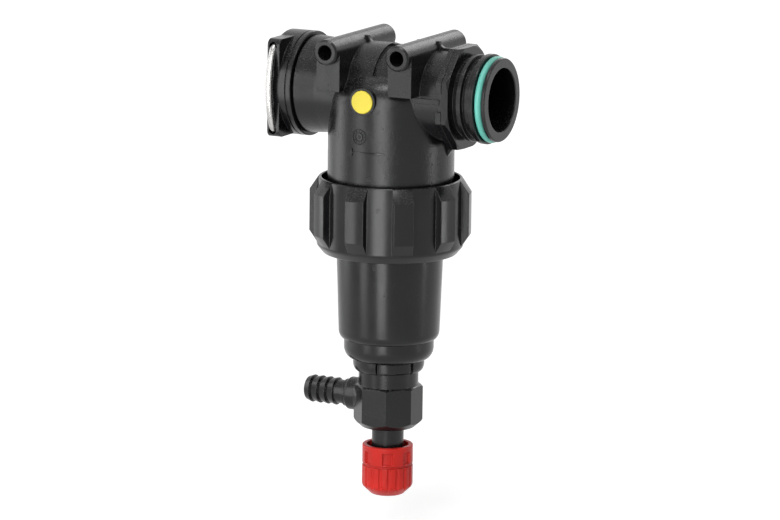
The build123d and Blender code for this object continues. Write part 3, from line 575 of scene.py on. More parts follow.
def wire_screen(name, colour):
    """Woven stainless screen with open holes between its wires, and painted shade on the wires' sides and
    where they dip under each other.
    """
    material, tree, shader = new_material(name, colour)
    shader.inputs["Metallic"].default_value = 1.0
    weave = group_node(tree, "woven_screen", (-700, 0), wire_share=0.42)
    marks = group_node(tree, "handling_marks", (-700, -300), scuffs=0.4, dust=0.4)
    # painted shade: where the weave is low, at the wires' sides and under crossings, the steel darkens to
    # 0.45 of its colour; the same ramp also lowers the roughness on the wires' tops
    tone = ramp(tree, weave.outputs["Height"], 0.4, 1.2, (-400, 150))
    base = mixed(tree, tone, lighter(colour, 0.45), colour, (-200, 200))
    base = mixed(tree, marks.outputs["Dust"], base, SCREEN_DUST, (0, 200))
    tree.links.new(base, shader.inputs["Base Color"])
    rough = maths(tree, "MULTIPLY", tone, -0.15, (-200, 0))
    tree.links.new(maths(tree, "ADD", rough, 0.45, (0, 0)), shader.inputs["Roughness"])
    tree.links.new(weave.outputs["Cover"], shader.inputs["Alpha"])
    link_relief(tree, shader, weave.outputs["Height"], 0.00012, strength=0.8)
    return material


def dress(material, *nodes):
    """Gives solid-model nodes a material through their own slots."""
    for name in nodes:
        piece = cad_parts[name]
        if not piece.material_slots:
            piece.data.materials.append(material)
        for slot in piece.material_slots:
            slot.material = material


def finish_of(node):
    """Material that a solid-model node wears."""
    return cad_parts[node].material_slots[0].material


# Surface tools


def grid_faces(rows, columns, wrap_rows=False, wrap_columns=False):
    """Quad corners of a grid of points, as one array, with either direction closed on itself."""
    i = np.arange(rows if wrap_rows else rows - 1)
    j = np.arange(columns if wrap_columns else columns - 1)
    i, j = np.meshgrid(i, j, indexing="ij")
    below, beside = (i + 1) % rows, (j + 1) % columns
    quads = [i * columns + j, i * columns + beside, below * columns + beside, below * columns + j]
    return np.stack(quads, -1).reshape(-1, 4)


def new_piece(name, points, faces, body, slot, material, pitches=None):
    """Mesh object from an array of points and an array of quads, which rides on a body.

    Its faces are turned outwards and shaded smooth between its crisp edges."""
    mesh = bpy.data.meshes.new(name)
    mesh.from_pydata(points.reshape(-1, 3).tolist(), [], faces.tolist())
    mesh.validate()
    shell = bmesh.new()
    shell.from_mesh(mesh)
    bmesh.ops.recalc_face_normals(shell, faces=shell.faces)
    shell.to_mesh(mesh)
    shell.free()
    mesh.polygons.foreach_set("use_smooth", np.ones(len(mesh.polygons), bool))
    mesh.set_sharp_from_angle(angle=CRISP_ANGLE)
    if pitches is not None:
        layer = mesh.uv_layers.new(name="pitches")
        corners = np.zeros(len(mesh.loops), np.int32)
        mesh.loops.foreach_get("vertex_index", corners)
        layer.data.foreach_set("uv", pitches.reshape(-1, 2)[corners].astype(np.float32).ravel())
    mesh.update()
    mesh.materials.append(material)
    piece = bpy.data.objects.new(name, mesh)
    bpy.context.scene.collection.objects.link(piece)
    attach(piece, body)
    return piece


def on_neck(turn, height, lift, radius):
    """Points on the neck: turn about the bowl's axis, height and distance out from the neck's skin."""
    r = radius + lift
    return np.stack([r * np.cos(turn), r * np.sin(turn), height + 0 * r], -1)


def raised_stroke(ends, widths, height, sink, radius, steps, ring=9):
    """Raised stroke round the neck between two places, as a closed form with a rounded top.

    Along the stroke the place (turn times radius, height) goes straight from end to end and the width
    from one width to the other. Across it, the lift is the height times one less the eighth power of
    the distance from the middle, plus a fiftieth of the height, and the closed section returns below
    the skin by the sink."""
    t = np.linspace(0.0, 1.0, steps)[:, None]
    start, end = np.array(ends, float)
    along = (end - start) / np.linalg.norm(end - start)
    side = np.array([-along[1], along[0]])
    middle = start + t * (end - start)
    width = widths[0] + t * (widths[1] - widths[0])
    s = np.linspace(-1.0, 1.0, ring)
    across = np.concatenate([s, s[::-1]])
    lift = np.concatenate([height * (1 - s ** 8) + 0.02 * height, np.full(ring, -sink)])
    flat = middle[:, None, :] + (across[None, :, None] * width[:, None, :] / 2) * side
    turn = flat[..., 0] / radius
    return capped_sweep(on_neck(turn, flat[..., 1], np.broadcast_to(lift, turn.shape), radius))


def raised_ring(centre, ring_radius, width, height, sink, radius, steps=64, section=12):
    """Raised ring round a place on the neck: a rounded section carried about a circle laid on the skin.

    With angle u about the ring and v about the section, the flat place is the centre plus (ring radius
    plus half the width times cos v) in direction u, and the lift is the height times sin v above the
    skin, or the sink times sin v below it."""
    u = np.linspace(0, 2 * math.pi, steps, endpoint=False)[:, None]
    v = np.linspace(0, 2 * math.pi, section, endpoint=False)[None, :]
    reach = ring_radius + width / 2 * np.cos(v)
    turn = (centre[0] + reach * np.cos(u)) / radius
    z = centre[1] + reach * np.sin(u)
    lift = np.where(np.sin(v) > 0, height, sink) * np.sin(v) + 0 * u
    points = on_neck(turn, z, lift, radius)
    return points.reshape(-1, 3), grid_faces(steps, section, wrap_rows=True, wrap_columns=True)


def joined(parts):
    """Several (points, faces) surfaces as one."""
    points, faces, count = [], [], 0
    for p, f in parts:
        points.append(p)
        faces.append(f + count)
        count += len(p)
    return np.concatenate(points), np.concatenate(faces)


def capped_sweep(points):
    """Closed surface along rows of closed sections, capped at both ends.

    Each section has an even number of points, and the cap joins each point to the one that faces it
    across the section: number j to the last but j."""
    steps, ring = points.shape[:2]
    body = grid_faces(steps, ring, wrap_columns=True)
    j = np.arange(ring // 2 - 1)
    cap = np.stack([j, ring - 1 - j, ring - 2 - j, j + 1], -1)
    return points.reshape(-1, 3), np.concatenate([body, cap[:, ::-1], cap + (steps - 1) * ring])


def turned(section, columns=128):
    """Closed surface of a closed (radius, height) section turned about the upright axis."""
    r, z = np.array(section, float).T
    u = np.linspace(0, 2 * math.pi, columns, endpoint=False)[:, None]
    points = np.stack([r * np.cos(u), r * np.sin(u), z + 0 * u], -1)
    return points.reshape(-1, 3), grid_faces(columns, len(r), wrap_rows=True, wrap_columns=True)


def sector(outer, inner, start, end, steps=40):
    """Closed sector of a turned ring, between an outer and an inner chain of (radius, height) points.

    Both chains have as many points, in the same order."""
    section = np.array(list(outer) + list(inner)[::-1], float)
    u = np.linspace(start, end, steps)[:, None]
    r, z = section.T
    return capped_sweep(np.stack([r * np.cos(u), r * np.sin(u), z + 0 * u], -1))


def plate(top, foot, low, high):
    """Closed plate between two depths, with its outline as an upper and a lower chain of (x, z) points."""
    outline = np.array(list(top) + list(foot)[::-1], float)
    depth = np.array([low, high])[:, None]
    x, z = outline.T
    return capped_sweep(np.stack([x + 0 * depth, depth + 0 * x, z + 0 * depth], -1))


def quarter(r_top, r_foot, z, height, count=14):
    """Bulging shoulder: a quarter ellipse from the upper wall, over the height, in to the smaller radius."""
    a = np.linspace(0, math.pi / 2, count)
    return list(zip(r_foot + (r_top - r_foot) * np.cos(a), z + height * (1 - np.sin(a))))


def corner_arc(r, z, radius, start, end, count=8):
    """Rounded corner about a centre, from one angle to the other, as (radius, height) points."""
    a = np.radians(np.linspace(start, end, count))
    return list(zip(r + radius * np.cos(a), z + radius * np.sin(a)))


def helical_ridge(radius, low, high, pitch, height, width, fade_angle=2.1, end_sink=0.0002,
                  steps_per_turn=96, section=10):
    """Thread ridge: a rounded section carried up a helix and faded out at both ends.

    At turn u the section's middle is at the low height plus pitch times u over a full turn. At angle v
    round the section the place rises by half the width times cos v, and its radius grows by the ridge's
    height times sin v, or below the skin by 0.4 of it. A smooth fade over the fade angle at each end
    takes the ridge's height to nothing and the whole section down by the end's sink."""
    turns = (high - low) / pitch
    steps = int(steps_per_turn * turns)
    u = np.linspace(0, 2 * math.pi * turns, steps)[:, None]
    v = np.linspace(0, 2 * math.pi, section, endpoint=False)[None, :]
    fade = np.clip(np.minimum(u, u[-1] - u) / fade_angle, 0, 1)
    fade = fade * fade * (3 - 2 * fade)
    lift = np.where(np.sin(v) > 0, height * fade, 0.4 * height) * np.sin(v)
    r = radius + lift - end_sink * (1 - fade)
    z = low + pitch * u / (2 * math.pi) + width / 2 * np.cos(v)
    points = np.stack([r * np.cos(u), r * np.sin(u), z + 0 * r], -1)
    return points.reshape(-1, 3), grid_faces(steps, section, wrap_columns=True)


# Operators


class FILTER_OT_make_effects(bpy.types.Operator):
    """Make the shared effects that the finishes use"""

    bl_idname = "filter.make_effects"
    bl_label = "Make Shared Effects"

    def execute(self, context):
        for build in (moulded_grain, worn_edges, handling_marks, drawn_streaks, woven_screen):
            build()
        return {"FINISHED"}


class FILTER_OT_finish_black(bpy.types.Operator):
    """Give the head, couplings, nut, bowl and drain their black glass-filled finish"""

    bl_idname = "filter.finish_black"
    bl_label = "Finish Black Mouldings"

    def execute(self, context):
        s = context.scene.filter_finish
        head = moulded_plastic("black_moulding", s.black, s.gloss, s.grain, bump=0.00008)
        bowl = moulded_plastic("black_bowl_moulding", s.black, s.gloss - 0.02, s.grain * 0.8, bump=0.000018)
        nut = moulded_plastic(
            "black_nut_moulding", s.black, s.gloss - 0.03, s.grain * 0.8, bump=0.000014, edge_amount=0.8)
        coupling = moulded_plastic(
            "black_coupling_moulding", s.black, s.gloss - 0.02, s.grain * 0.7, bump=0.000016)
        dress(head, "filter_head", "valve_plunger", "valve_spindle", "valve_bonnet")
        dress(bowl, "bowl", "drain_body")
        dress(nut, "ring_nut")
        dress(coupling, "inlet_coupling", "outlet_spigot")
        return {"FINISHED"}


class FILTER_OT_finish_colours(bpy.types.Operator):
    """Give the yellow disc, the red knob and the cartridge's cage their finish"""

    bl_idname = "filter.finish_colours"
    bl_label = "Finish Coloured Mouldings"

    def execute(self, context):
        s = context.scene.filter_finish
        yellow = moulded_plastic(
            "yellow_disc", s.yellow, 0.3, 0.0009, bump=0.00002, rubbed=lighter(s.yellow, 1.0, 0.05),
            scuffs=0.4, dust=0.12)
        red = moulded_plastic(
            "red_moulding", s.red, 0.36, 0.0008, bump=0.00003, rubbed=lighter(s.red, 1.2, 0.03),
            scuffs=0.6, dust=0.05, specular=0.2)
        cage = moulded_plastic(
            "cage_moulding", s.cage, 0.42, 0.0009, bump=0.00004, rubbed=lighter(s.cage, 1.0, 0.05))
        dress(yellow, "mesh_disc")
        dress(red, "drain_knob")
        dress(cage, "cartridge_frame")
        return {"FINISHED"}


class FILTER_OT_finish_seals(bpy.types.Operator):
    """Give the ring seals their rubber"""

    bl_idname = "filter.finish_seals"
    bl_label = "Finish Seals"

    def execute(self, context):
        s = context.scene.filter_finish
        dress(
            seal_rubber("black_rubber", s.rubber, 0.48),
            "inlet_coupling_seal", "outlet_shank_seal", "bowl_oring", "cartridge_top_seal",
            "cartridge_foot_seal", "drain_body_oring", "bonnet_oring", "spindle_oring", "plunger_seal")
        dress(seal_rubber("turquoise_rubber", s.turquoise, 0.4), "outlet_oring")
        return {"FINISHED"}


class FILTER_OT_finish_steel(bpy.types.Operator):
    """Give the fork clip and the screw their drawn stainless finish"""

    bl_idname = "filter.finish_steel"
    bl_label = "Finish Stainless Pieces"

    def execute(self, context):
        s = context.scene.filter_finish
        dress(bright_wire("stainless_wire", s.steel, (1500.0, 40.0, 700.0)), "fork_clip", "knob_screw")
        return {"FINISHED"}


class FILTER_OT_add_screen(bpy.types.Operator):
    """Weave the cartridge's screen in place of its plain tube"""

    bl_idname = "filter.add_screen"
    bl_label = "Add Woven Screen"

    def execute(self, context):
        """Two round walls of radius r, the inner one facing in. The weave's map is r times the angle and
        the height, both over the pitch."""
        low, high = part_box("cartridge_mesh")
        outer = high.x
        wall, pitch = 0.00018, 0.0008
        rows, columns = 24, 160
        u = np.linspace(0, 2 * math.pi, columns + 1)[None, :]
        z = np.linspace(low.z, high.z, rows)[:, None]
        quads = grid_faces(rows, columns + 1)
        shells, maps = [], []
        for r, faces in ((outer, quads), (outer - wall, quads[:, ::-1])):
            points = np.stack([r * np.cos(u) + 0 * z, r * np.sin(u) + 0 * z, z + 0 * u], -1)
            shells.append((points.reshape(-1, 3), faces))
            maps.append(np.stack([r * u / pitch + 0 * z, z / pitch + 0 * u], -1).reshape(-1, 2))
        weave = wire_screen("stainless_screen", context.scene.filter_finish.steel)
        screen = new_piece(
            "cartridge_screen", *joined(shells), "bowl", "stainless_mesh", weave, np.concatenate(maps))
        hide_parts("cartridge_mesh")
        return {"FINISHED"}


class FILTER_OT_add_neck_marks(bpy.types.Operator):
    """Raise the plain flow arrow and the plain mould dial on the front of the neck"""

    bl_idname = "filter.add_neck_marks"
    bl_label = "Add Neck Marks"

    def execute(self, context):
        """The arrow is a bar, a shaft and a head that narrows to its tip. The dial is three rings, and
        short hour strokes between two shares of its radius."""
        m = context.scene.filter_marks
        radius = m.neck_radius
        sink = 0.0004
        x, z, half, h = m.arrow_turn * radius, -m.arrow_drop, m.arrow_length / 2, m.arrow_height
        tail, tip = x - half, x + half
        bar_half, bar_width, shaft_width, shaft_gap = 0.002, 0.0009, 0.0011, 0.002
        head_length, head_width, tip_width = 0.0042, 0.0022, 0.0006
        arrow = joined([
            raised_stroke(((tail, z), (tip - shaft_gap, z)), (shaft_width, shaft_width), h, sink, radius, 40),
            raised_stroke(
                ((tail, z - bar_half), (tail, z + bar_half)), (bar_width, bar_width), h, sink, radius, 12),
            raised_stroke(((tip - head_length, z), (tip, z)), (head_width, tip_width), h, sink, radius, 16),
        ])
        finish = context.scene.filter_finish
        material = moulded_plastic(
            "black_mark_moulding", finish.black, finish.gloss - 0.06, finish.grain, rounding=0.0001,
            bump=0.00001)
        new_piece("flow_arrow", *arrow, "head", "black_moulding", material)

        r = m.dial_radius
        centre = np.array([m.dial_turn * radius, -m.dial_drop])
        ring_height, stroke_height = h * 0.8, h * 0.7
        dial = [
            raised_ring(centre, r, 0.0006, ring_height, sink, radius),
            raised_ring(centre, r * 0.55, 0.0005, ring_height, sink, radius),
            raised_ring(centre, r * 0.12, 0.0009, ring_height, sink, radius, steps=24),
        ]
        hours, stroke_start, stroke_end, stroke_width = 12, 0.68, 0.84, 0.0004
        for hour in range(hours):
            a = hour * 2 * math.pi / hours
            out = r * np.array([math.cos(a), math.sin(a)])
            ends = (centre + stroke_start * out, centre + stroke_end * out)
            dial.append(raised_stroke(
                ends, (stroke_width, stroke_width), stroke_height, sink, radius, steps=4, ring=5))
        new_piece("mould_dial", *joined(dial), "head", "black_moulding", material)
        return {"FINISHED"}


class FILTER_OT_add_neck_thread(bpy.types.Operator):
    """Carry the ridge of the neck's thread up a helix inside the ring nut"""

    bl_idname = "filter.add_neck_thread"
    bl_label = "Add Neck Thread"

    def execute(self, context):
        m = context.scene.filter_marks
        plain_end, ridge_width = 0.003, 0.0022
        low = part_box("filter_head")[0].z + plain_end
        ridge = helical_ridge(
            m.thread_radius, low, low + m.thread_length, m.thread_pitch, m.thread_height, ridge_width)
        new_piece("neck_thread", *ridge, "head", "black_moulding", finish_of("filter_head"))
        return {"FINISHED"}


class FILTER_OT_add_ring_nut(bpy.types.Operator):
    """Turn the ring nut with its ribs where the filter's own stand"""

    bl_idname = "filter.add_ring_nut"
    bl_label = "Add Ring Nut"

    def execute(self, context):
        """Ribs are columns of the grid: their flanks lie at half the rib's width from the rib's middle
        plane, so the angle of a flank is the arc sine of that half width over the radius. The top of a
        rib is narrower by a small draft on each side."""
        f = context.scene.filter_forms
        low, high = (c.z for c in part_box("ring_nut"))
        height = high - low
        rib_r = f.nut_core + f.rib_rise
        # height at which a rib's lower slope comes out of the core
        meet_share = (f.nut_core - f.nut_foot) / (rib_r - f.nut_foot)
        meet = f.rib_foot_low + meet_share * (f.rib_foot_high - f.rib_foot_low)
        chamfer = height - f.nut_chamfer
        edge, foot_round, top_draft = 0.0004, 0.0008, 0.0001
        rim = f.nut_rim - edge
        # the foot's round edge, a cone that bends into the core, and the core up to its rim
        core = corner_arc(f.nut_foot - foot_round, foot_round, foot_round, -90, -35, 5) + [
            (f.nut_core - 0.0009, 0.0033), (f.nut_core - 0.0003, 0.0041), (f.nut_core, 0.005),
            (f.nut_core, meet), (f.nut_core, f.rib_foot_high), (f.nut_core, chamfer),
            (f.nut_rim, height - edge), (rim, height),
        ]
        core_r, z = np.array(core).T
        rib_z = [f.rib_foot_low, f.rib_foot_high, chamfer, height]
        cover = np.interp(z, rib_z, [f.nut_foot, rib_r, rib_r, f.nut_rim], left=0.0)
        rib = np.maximum(cover, core_r)
        rib[-1] = rim
        inside = np.array([
            (f.nut_bore, height), (f.nut_bore, f.nut_lip), (f.nut_lip_bore, f.nut_lip), (f.nut_lip_bore, 0)])
        core_r = np.concatenate([core_r, inside[:, 0]])[None, :]
        rib = np.concatenate([rib, inside[:, 0]])[None, :]
        z = np.concatenate([z, inside[:, 1]])[None, :]
        half = f.rib_width / 2
        pitch = 2 * math.pi / f.rib_count
        share = np.array([-1, -0.5, 0, 0.5, 1])[:, None]
        on_top = share * np.arcsin((half - top_draft) / rib)
        flank = np.arcsin(half / core_r)
        valley = flank + np.linspace(0, 1, 9)[:, None] * (pitch - 2 * flank)
        angle = np.concatenate([on_top, valley])
        radius = np.concatenate([rib + 0 * on_top, core_r + 0 * valley])
        turns = f.rib_phase + pitch * np.arange(f.rib_count)[:, None, None]
        u = (angle[None] + turns).reshape(-1, z.size)
        r = np.broadcast_to(radius, (f.rib_count, *radius.shape)).reshape(-1, z.size)
        points = np.stack([r * np.cos(u), r * np.sin(u), low + z + 0 * u], -1)
        faces = grid_faces(len(u), z.size, wrap_rows=True, wrap_columns=True)
        nut = new_piece("ring_nut_ribbed", points, faces, "nut", "black_moulding", finish_of("ring_nut"))
        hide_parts("ring_nut")
        return {"FINISHED"}


class FILTER_OT_add_bowl(bpy.types.Operator):
    """Turn the bowl with its bulging shoulders, its open bayonet collar and the drain's lugs in it"""

    bl_idname = "filter.add_bowl"
    bl_label = "Add Bowl"

    def execute(self, context):
        """A turned shell, whose shoulders are quarter ellipses, with two sectors of the collar under it
        and two lugs in the openings between them."""
        f = context.scene.filter_forms
        low, high = (c.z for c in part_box("bowl"))
        collar_top = low + f.collar_length
        step = collar_top + f.mid_length
        top = high - f.spigot_height
        flange = top - f.flange_t
        groove = top + f.spigot_height / 2
        half = f.groove_width / 2
        spigot, flange_r, wall = f.spigot_r, f.flange_r, f.bowl_wall
        mouth_round, edge = 0.0008, 0.0004
        outside = corner_arc(spigot - mouth_round, high - mouth_round, mouth_round, 90, 0, 5)
        outside += [
            (spigot, groove + half), (spigot - f.groove_depth, groove + half),
            (spigot - f.groove_depth, groove - half), (spigot, groove - half), (spigot, top),
            (flange_r - edge, top), (flange_r, top - edge), (flange_r, flange + edge),
            (flange_r - edge, flange), (f.bowl_top, flange),
        ]
        outside += quarter(f.bowl_foot, f.mid_r, step, f.foot_shoulder)
        outside += quarter(f.mid_r, f.collar_r, collar_top, f.mid_shoulder)
        floor_round = 0.0009
        inside = [
            (f.port_r, collar_top), (f.port_r, collar_top + f.floor_t),
            (f.collar_r - floor_round, collar_top + f.floor_t),
            (f.mid_r - wall, collar_top + f.mid_shoulder + wall / 2), (f.mid_r - wall, step + wall / 2),
            (f.bowl_foot - wall, step + f.foot_shoulder + wall / 2), (f.bowl_top - wall, flange),
            (f.bowl_top - wall, high),
        ]
        shells = [turned(outside + inside)]
        bore, land = f.neck_r + f.collar_gap, 0.0005
        outer = [(f.collar_r, collar_top)] + quarter(f.collar_r, bore + land, low, f.collar_shoulder)
        inner = [(bore, z) for _, z in outer]
        opening, middle = f.notch_angle, f.notch_at
        for turn in (0, math.pi):
            start = middle + opening / 2 + turn
            shells.append(sector(outer, inner, start, start + math.pi - opening))
        black = finish_of("bowl")
        bowl = new_piece("bowl_stepped", *joined(shells), "bowl", "black_moulding", black)
        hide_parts("bowl")
        foot, head = low + f.lug_foot_gap, collar_top - f.lug_top_gap
        chamfer, root_sink = 0.0012, 0.001
        face = [(f.lug_r, head), (f.lug_r, foot + chamfer), (f.lug_r - chamfer, foot)]
        root = [(f.neck_r - root_sink, z) for _, z in face]
        start = middle - opening / 2 + f.lug_open_gap / f.lug_r
        end = middle + opening / 2 - f.lug_side_gap / f.lug_r
        lugs = joined([sector(face, root, start + turn, end + turn) for turn in (0, math.pi)])
        new_piece("drain_lugs", *lugs, "bowl", "black_moulding", black)
        return {"FINISHED"}


class FILTER_OT_add_fork(bpy.types.Operator):
    """Bend the fork's wire, with its bowed bridge"""

    bl_idname = "filter.add_fork"
    bl_label = "Add Fork"

    def execute(self, context):
        """The line lies in a plane across the flow: a straight leg, a bend, an arc of the bow's radius
        that is tangent to both bends, a bend and a leg. The round section stands square to it, and its
        radius is halved at the wire's two ends."""
        f = context.scene.filter_forms
        low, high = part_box("fork_clip")
        x, middle = (low.x + high.x) / 2, (low.z + high.z) / 2
        half = (high.z - low.z) / 2 - f.wire_r
        bridge = -low.y - f.wire_r
        bow_r = (half ** 2 + f.fork_bow ** 2) / (2 * f.fork_bow)
        bow_y = bow_r - bridge
        bend_z = half - f.fork_bend
        bend_y = bow_y - math.sqrt((bow_r - f.fork_bend) ** 2 - bend_z ** 2)
        turn = math.atan2(bow_y - bend_y, bend_z)
        leg = np.linspace(high.y, bend_y, 30, endpoint=False)
        a = np.linspace(0, turn, 16)
        b = np.linspace(turn, math.pi / 2, 24)[1:]
        y = np.concatenate([leg, bend_y - f.fork_bend * np.sin(a), bow_y - bow_r * np.sin(b)])
        z = np.concatenate([half + 0 * leg, bend_z + f.fork_bend * np.cos(a), bow_r * np.cos(b)])
        line = np.stack([np.concatenate([y, y[-2::-1]]), np.concatenate([z, -z[-2::-1]])], -1)
        along = np.gradient(line, axis=0)
        along /= np.linalg.norm(along, axis=1)[:, None]
        across = np.stack([along[:, 1], -along[:, 0]], -1)
        radius = np.full((len(line), 1), f.wire_r)
        radius[[0, -1]] = f.wire_r / 2
        v = np.linspace(0, 2 * math.pi, 28, endpoint=False)[None, :]
        reach = radius * np.cos(v)
        points = np.stack([
            x + radius * np.sin(v), line[:, :1] + reach * across[:, :1],
            middle + line[:, 1:] + reach * across[:, 1:]], -1)
        fork = new_piece("fork_wire", *capped_sweep(points), "fork", "stainless_wire", finish_of("fork_clip"))
        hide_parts("fork_clip")
        return {"FINISHED"}


class FILTER_OT_add_knob(bpy.types.Operator):
    """Turn the red knob with its grip ribs and the shallow recesses of its skirt"""

    bl_idname = "filter.add_knob"
    bl_label = "Add Knob"

    def execute(self, context):
        """The grip's radius is the smaller of the outline's and a round groove's: with t the angle from a
        groove's middle and c the groove centre's radius, c cos t less the root of (g squared less (c sin t)
        squared). In a recess the radius is the skirt's less the recess's depth."""
        f = context.scene.filter_forms
        low, high = (c.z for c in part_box("drain_knob"))
        knob, foot, ledge = f.knob_r, f.knob_foot_r, high - f.knob_ledge
        seat, tip, floor = low + f.screw_seat, high - f.socket_foot, high - f.skirt_depth
        shoulder, shoulder_z, grip_start = 0.0035, 0.0062, 0.009
        # the lower face's soft edge, a cone, the round shoulder and the grip up to the ring groove
        grip = [(foot - 0.0008, low), (foot - 0.0002, low + 0.0003)]
        grip += corner_arc(knob - shoulder, low + shoulder_z, shoulder, -35, 0)
        ring_groove, ring_depth, corner, edge = 0.0014, 0.0011, 0.00001, 0.0004
        grip += [(knob, low + grip_start), (knob, ledge - ring_groove)]
        # the rows at a recess's two ends each have a row of the plain skirt one corner away
        recess_low, recess_high, recess_corner = ledge + 0.0009, high - 0.0031, 0.0001
        skirt = [
            (knob - ring_depth, ledge - ring_groove + corner), (knob - ring_depth, ledge - corner),
            (knob, ledge), (knob, recess_low - recess_corner), (knob, recess_low), (knob, recess_high),
            (knob, recess_high + recess_corner), (knob, high - edge), (knob - edge, high),
        ]
        inside = [
            (knob - f.skirt_wall, high), (knob - f.skirt_wall, floor), (f.socket_r, floor), (f.socket_r, tip),
            (f.screw_bore, tip), (f.screw_bore, seat), (f.screw_recess, seat), (f.screw_recess, low),
        ]
        r, z = np.array(grip + skirt + inside).T
        columns = f.grip_count * 14  # so that each groove is cut alike
        u = np.linspace(0, 2 * math.pi, columns, endpoint=False)[:, None]
        pitch = 2 * math.pi / f.grip_count
        t = (u + pitch / 2) % pitch - pitch / 2
        centre = knob + f.grip_offset
        inner = np.sqrt(np.maximum(f.grip_cut ** 2 - (centre * np.sin(t)) ** 2, 0))
        groove = np.where(np.abs(centre * np.sin(t)) < f.grip_cut, centre * np.cos(t) - inner, 1.0)
        radius = np.broadcast_to(r, (columns, len(r))).copy()
        radius[:, :len(grip)] = np.minimum(radius[:, :len(grip)], groove)
        gap = 2 * math.pi / f.recess_count
        place = (u - f.recess_phase + gap / 2) % gap - gap / 2
        sunk = np.abs(place[:, 0]) < f.recess_width / 2 / knob
        in_recess = (z == recess_low) | (z == recess_high)
        radius[np.ix_(sunk, in_recess)] = knob - f.recess_depth
        points = np.stack([radius * np.cos(u), radius * np.sin(u), z + 0 * u], -1)
        faces = grid_faces(columns, len(r), wrap_rows=True, wrap_columns=True)
        piece = new_piece("knob_grip", points, faces, "knob", "red_moulding", finish_of("drain_knob"))
        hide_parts("drain_knob")
        return {"FINISHED"}


class FILTER_OT_add_tail_flare(bpy.types.Operator):
    """Flare the drain's hose tail where it joins the valve body"""

    bl_idname = "filter.add_tail_flare"
    bl_label = "Add Tail Flare"

    def execute(self, context):
        """The outline runs from the thin end to the root, its radius grows with the square of the way,
        and the turned form is laid over to the side of the hose tail."""
        f = context.scene.filter_forms
        way = np.linspace(0, 1, 12)
        radius = f.flare_tip_r + (f.flare_root_r - f.flare_tip_r) * way ** 2
        along = f.flare_tip + (f.flare_root - f.flare_tip) * way
        wall = 0.002
        bore = f.flare_tip_r - wall
        section = [(bore, f.flare_tip)] + list(zip(radius, along)) + [(bore, f.flare_root)]
        points, faces = turned(section, 72)
        points = np.stack([-points[:, 2], points[:, 1], points[:, 0] - f.tail_drop], -1)
        new_piece("tail_flare", points, faces, "bowl", "black_moulding", finish_of("drain_body"))
        return {"FINISHED"}


class FILTER_OT_add_head_ribs(bpy.types.Operator):
    """Add the head's crown rib, the gusset under its outlet and the low ribs beside it"""

    bl_idname = "filter.add_head_ribs"
    bl_label = "Add Head Ribs"

    def execute(self, context):
        """The crown rib's upper edge runs level and climbs each tube's side in a quarter circle. The other
        ribs are straight plates. All of them end below the skin of what they stand on."""
        f = context.scene.filter_forms
        half, reach, corner = f.tube_spacing / 2, f.tube_r + f.rib_corner, f.rib_corner
        a = np.linspace(0, math.pi / 2, 10)
        rise = corner * (1 - np.cos(a))
        run = corner * np.sin(a)
        left = [(-half, f.rib_top + corner)] + list(zip(-half + reach - run[::-1], f.rib_top + rise[::-1]))
        right = list(zip(half - reach + run, f.rib_top + rise))
        far = list(zip(half + reach - run[::-1], f.rib_top + rise[::-1]))
        far.append((f.plate_x, f.rib_top))
        top = left + right + far
        foot = [(x, -f.rib_depth) for x, _ in top]
        sink, low_rise, low_half = 0.001, 0.0008, 0.0015
        pipe_foot = -f.flow_drop - f.pipe_r + sink
        inner_end = f.plate_x - sink
        shells = [
            plate(top, foot, 0.0, f.rib_t),
            plate(
                [(f.chamber_r, pipe_foot), (inner_end, pipe_foot), (f.plate_x, pipe_foot)],
                [(f.chamber_r, -f.gusset_low), (inner_end, -f.gusset_tip), (f.plate_x, -f.gusset_tip)],
                -f.rib_t / 2, f.rib_t / 2),
        ]
        ends = (f.side_rib_start, f.plate_x)
        for side in (-1, 1):
            depths = sorted((side * (f.pipe_r - 2 * sink), side * (f.pipe_r + low_rise)))
            shells.append(plate(
                [(x, -f.flow_drop + low_half) for x in ends], [(x, -f.flow_drop - low_half) for x in ends],
                *depths))
        new_piece("head_ribs", *joined(shells), "head", "black_moulding", finish_of("filter_head"))
        return {"FINISHED"}


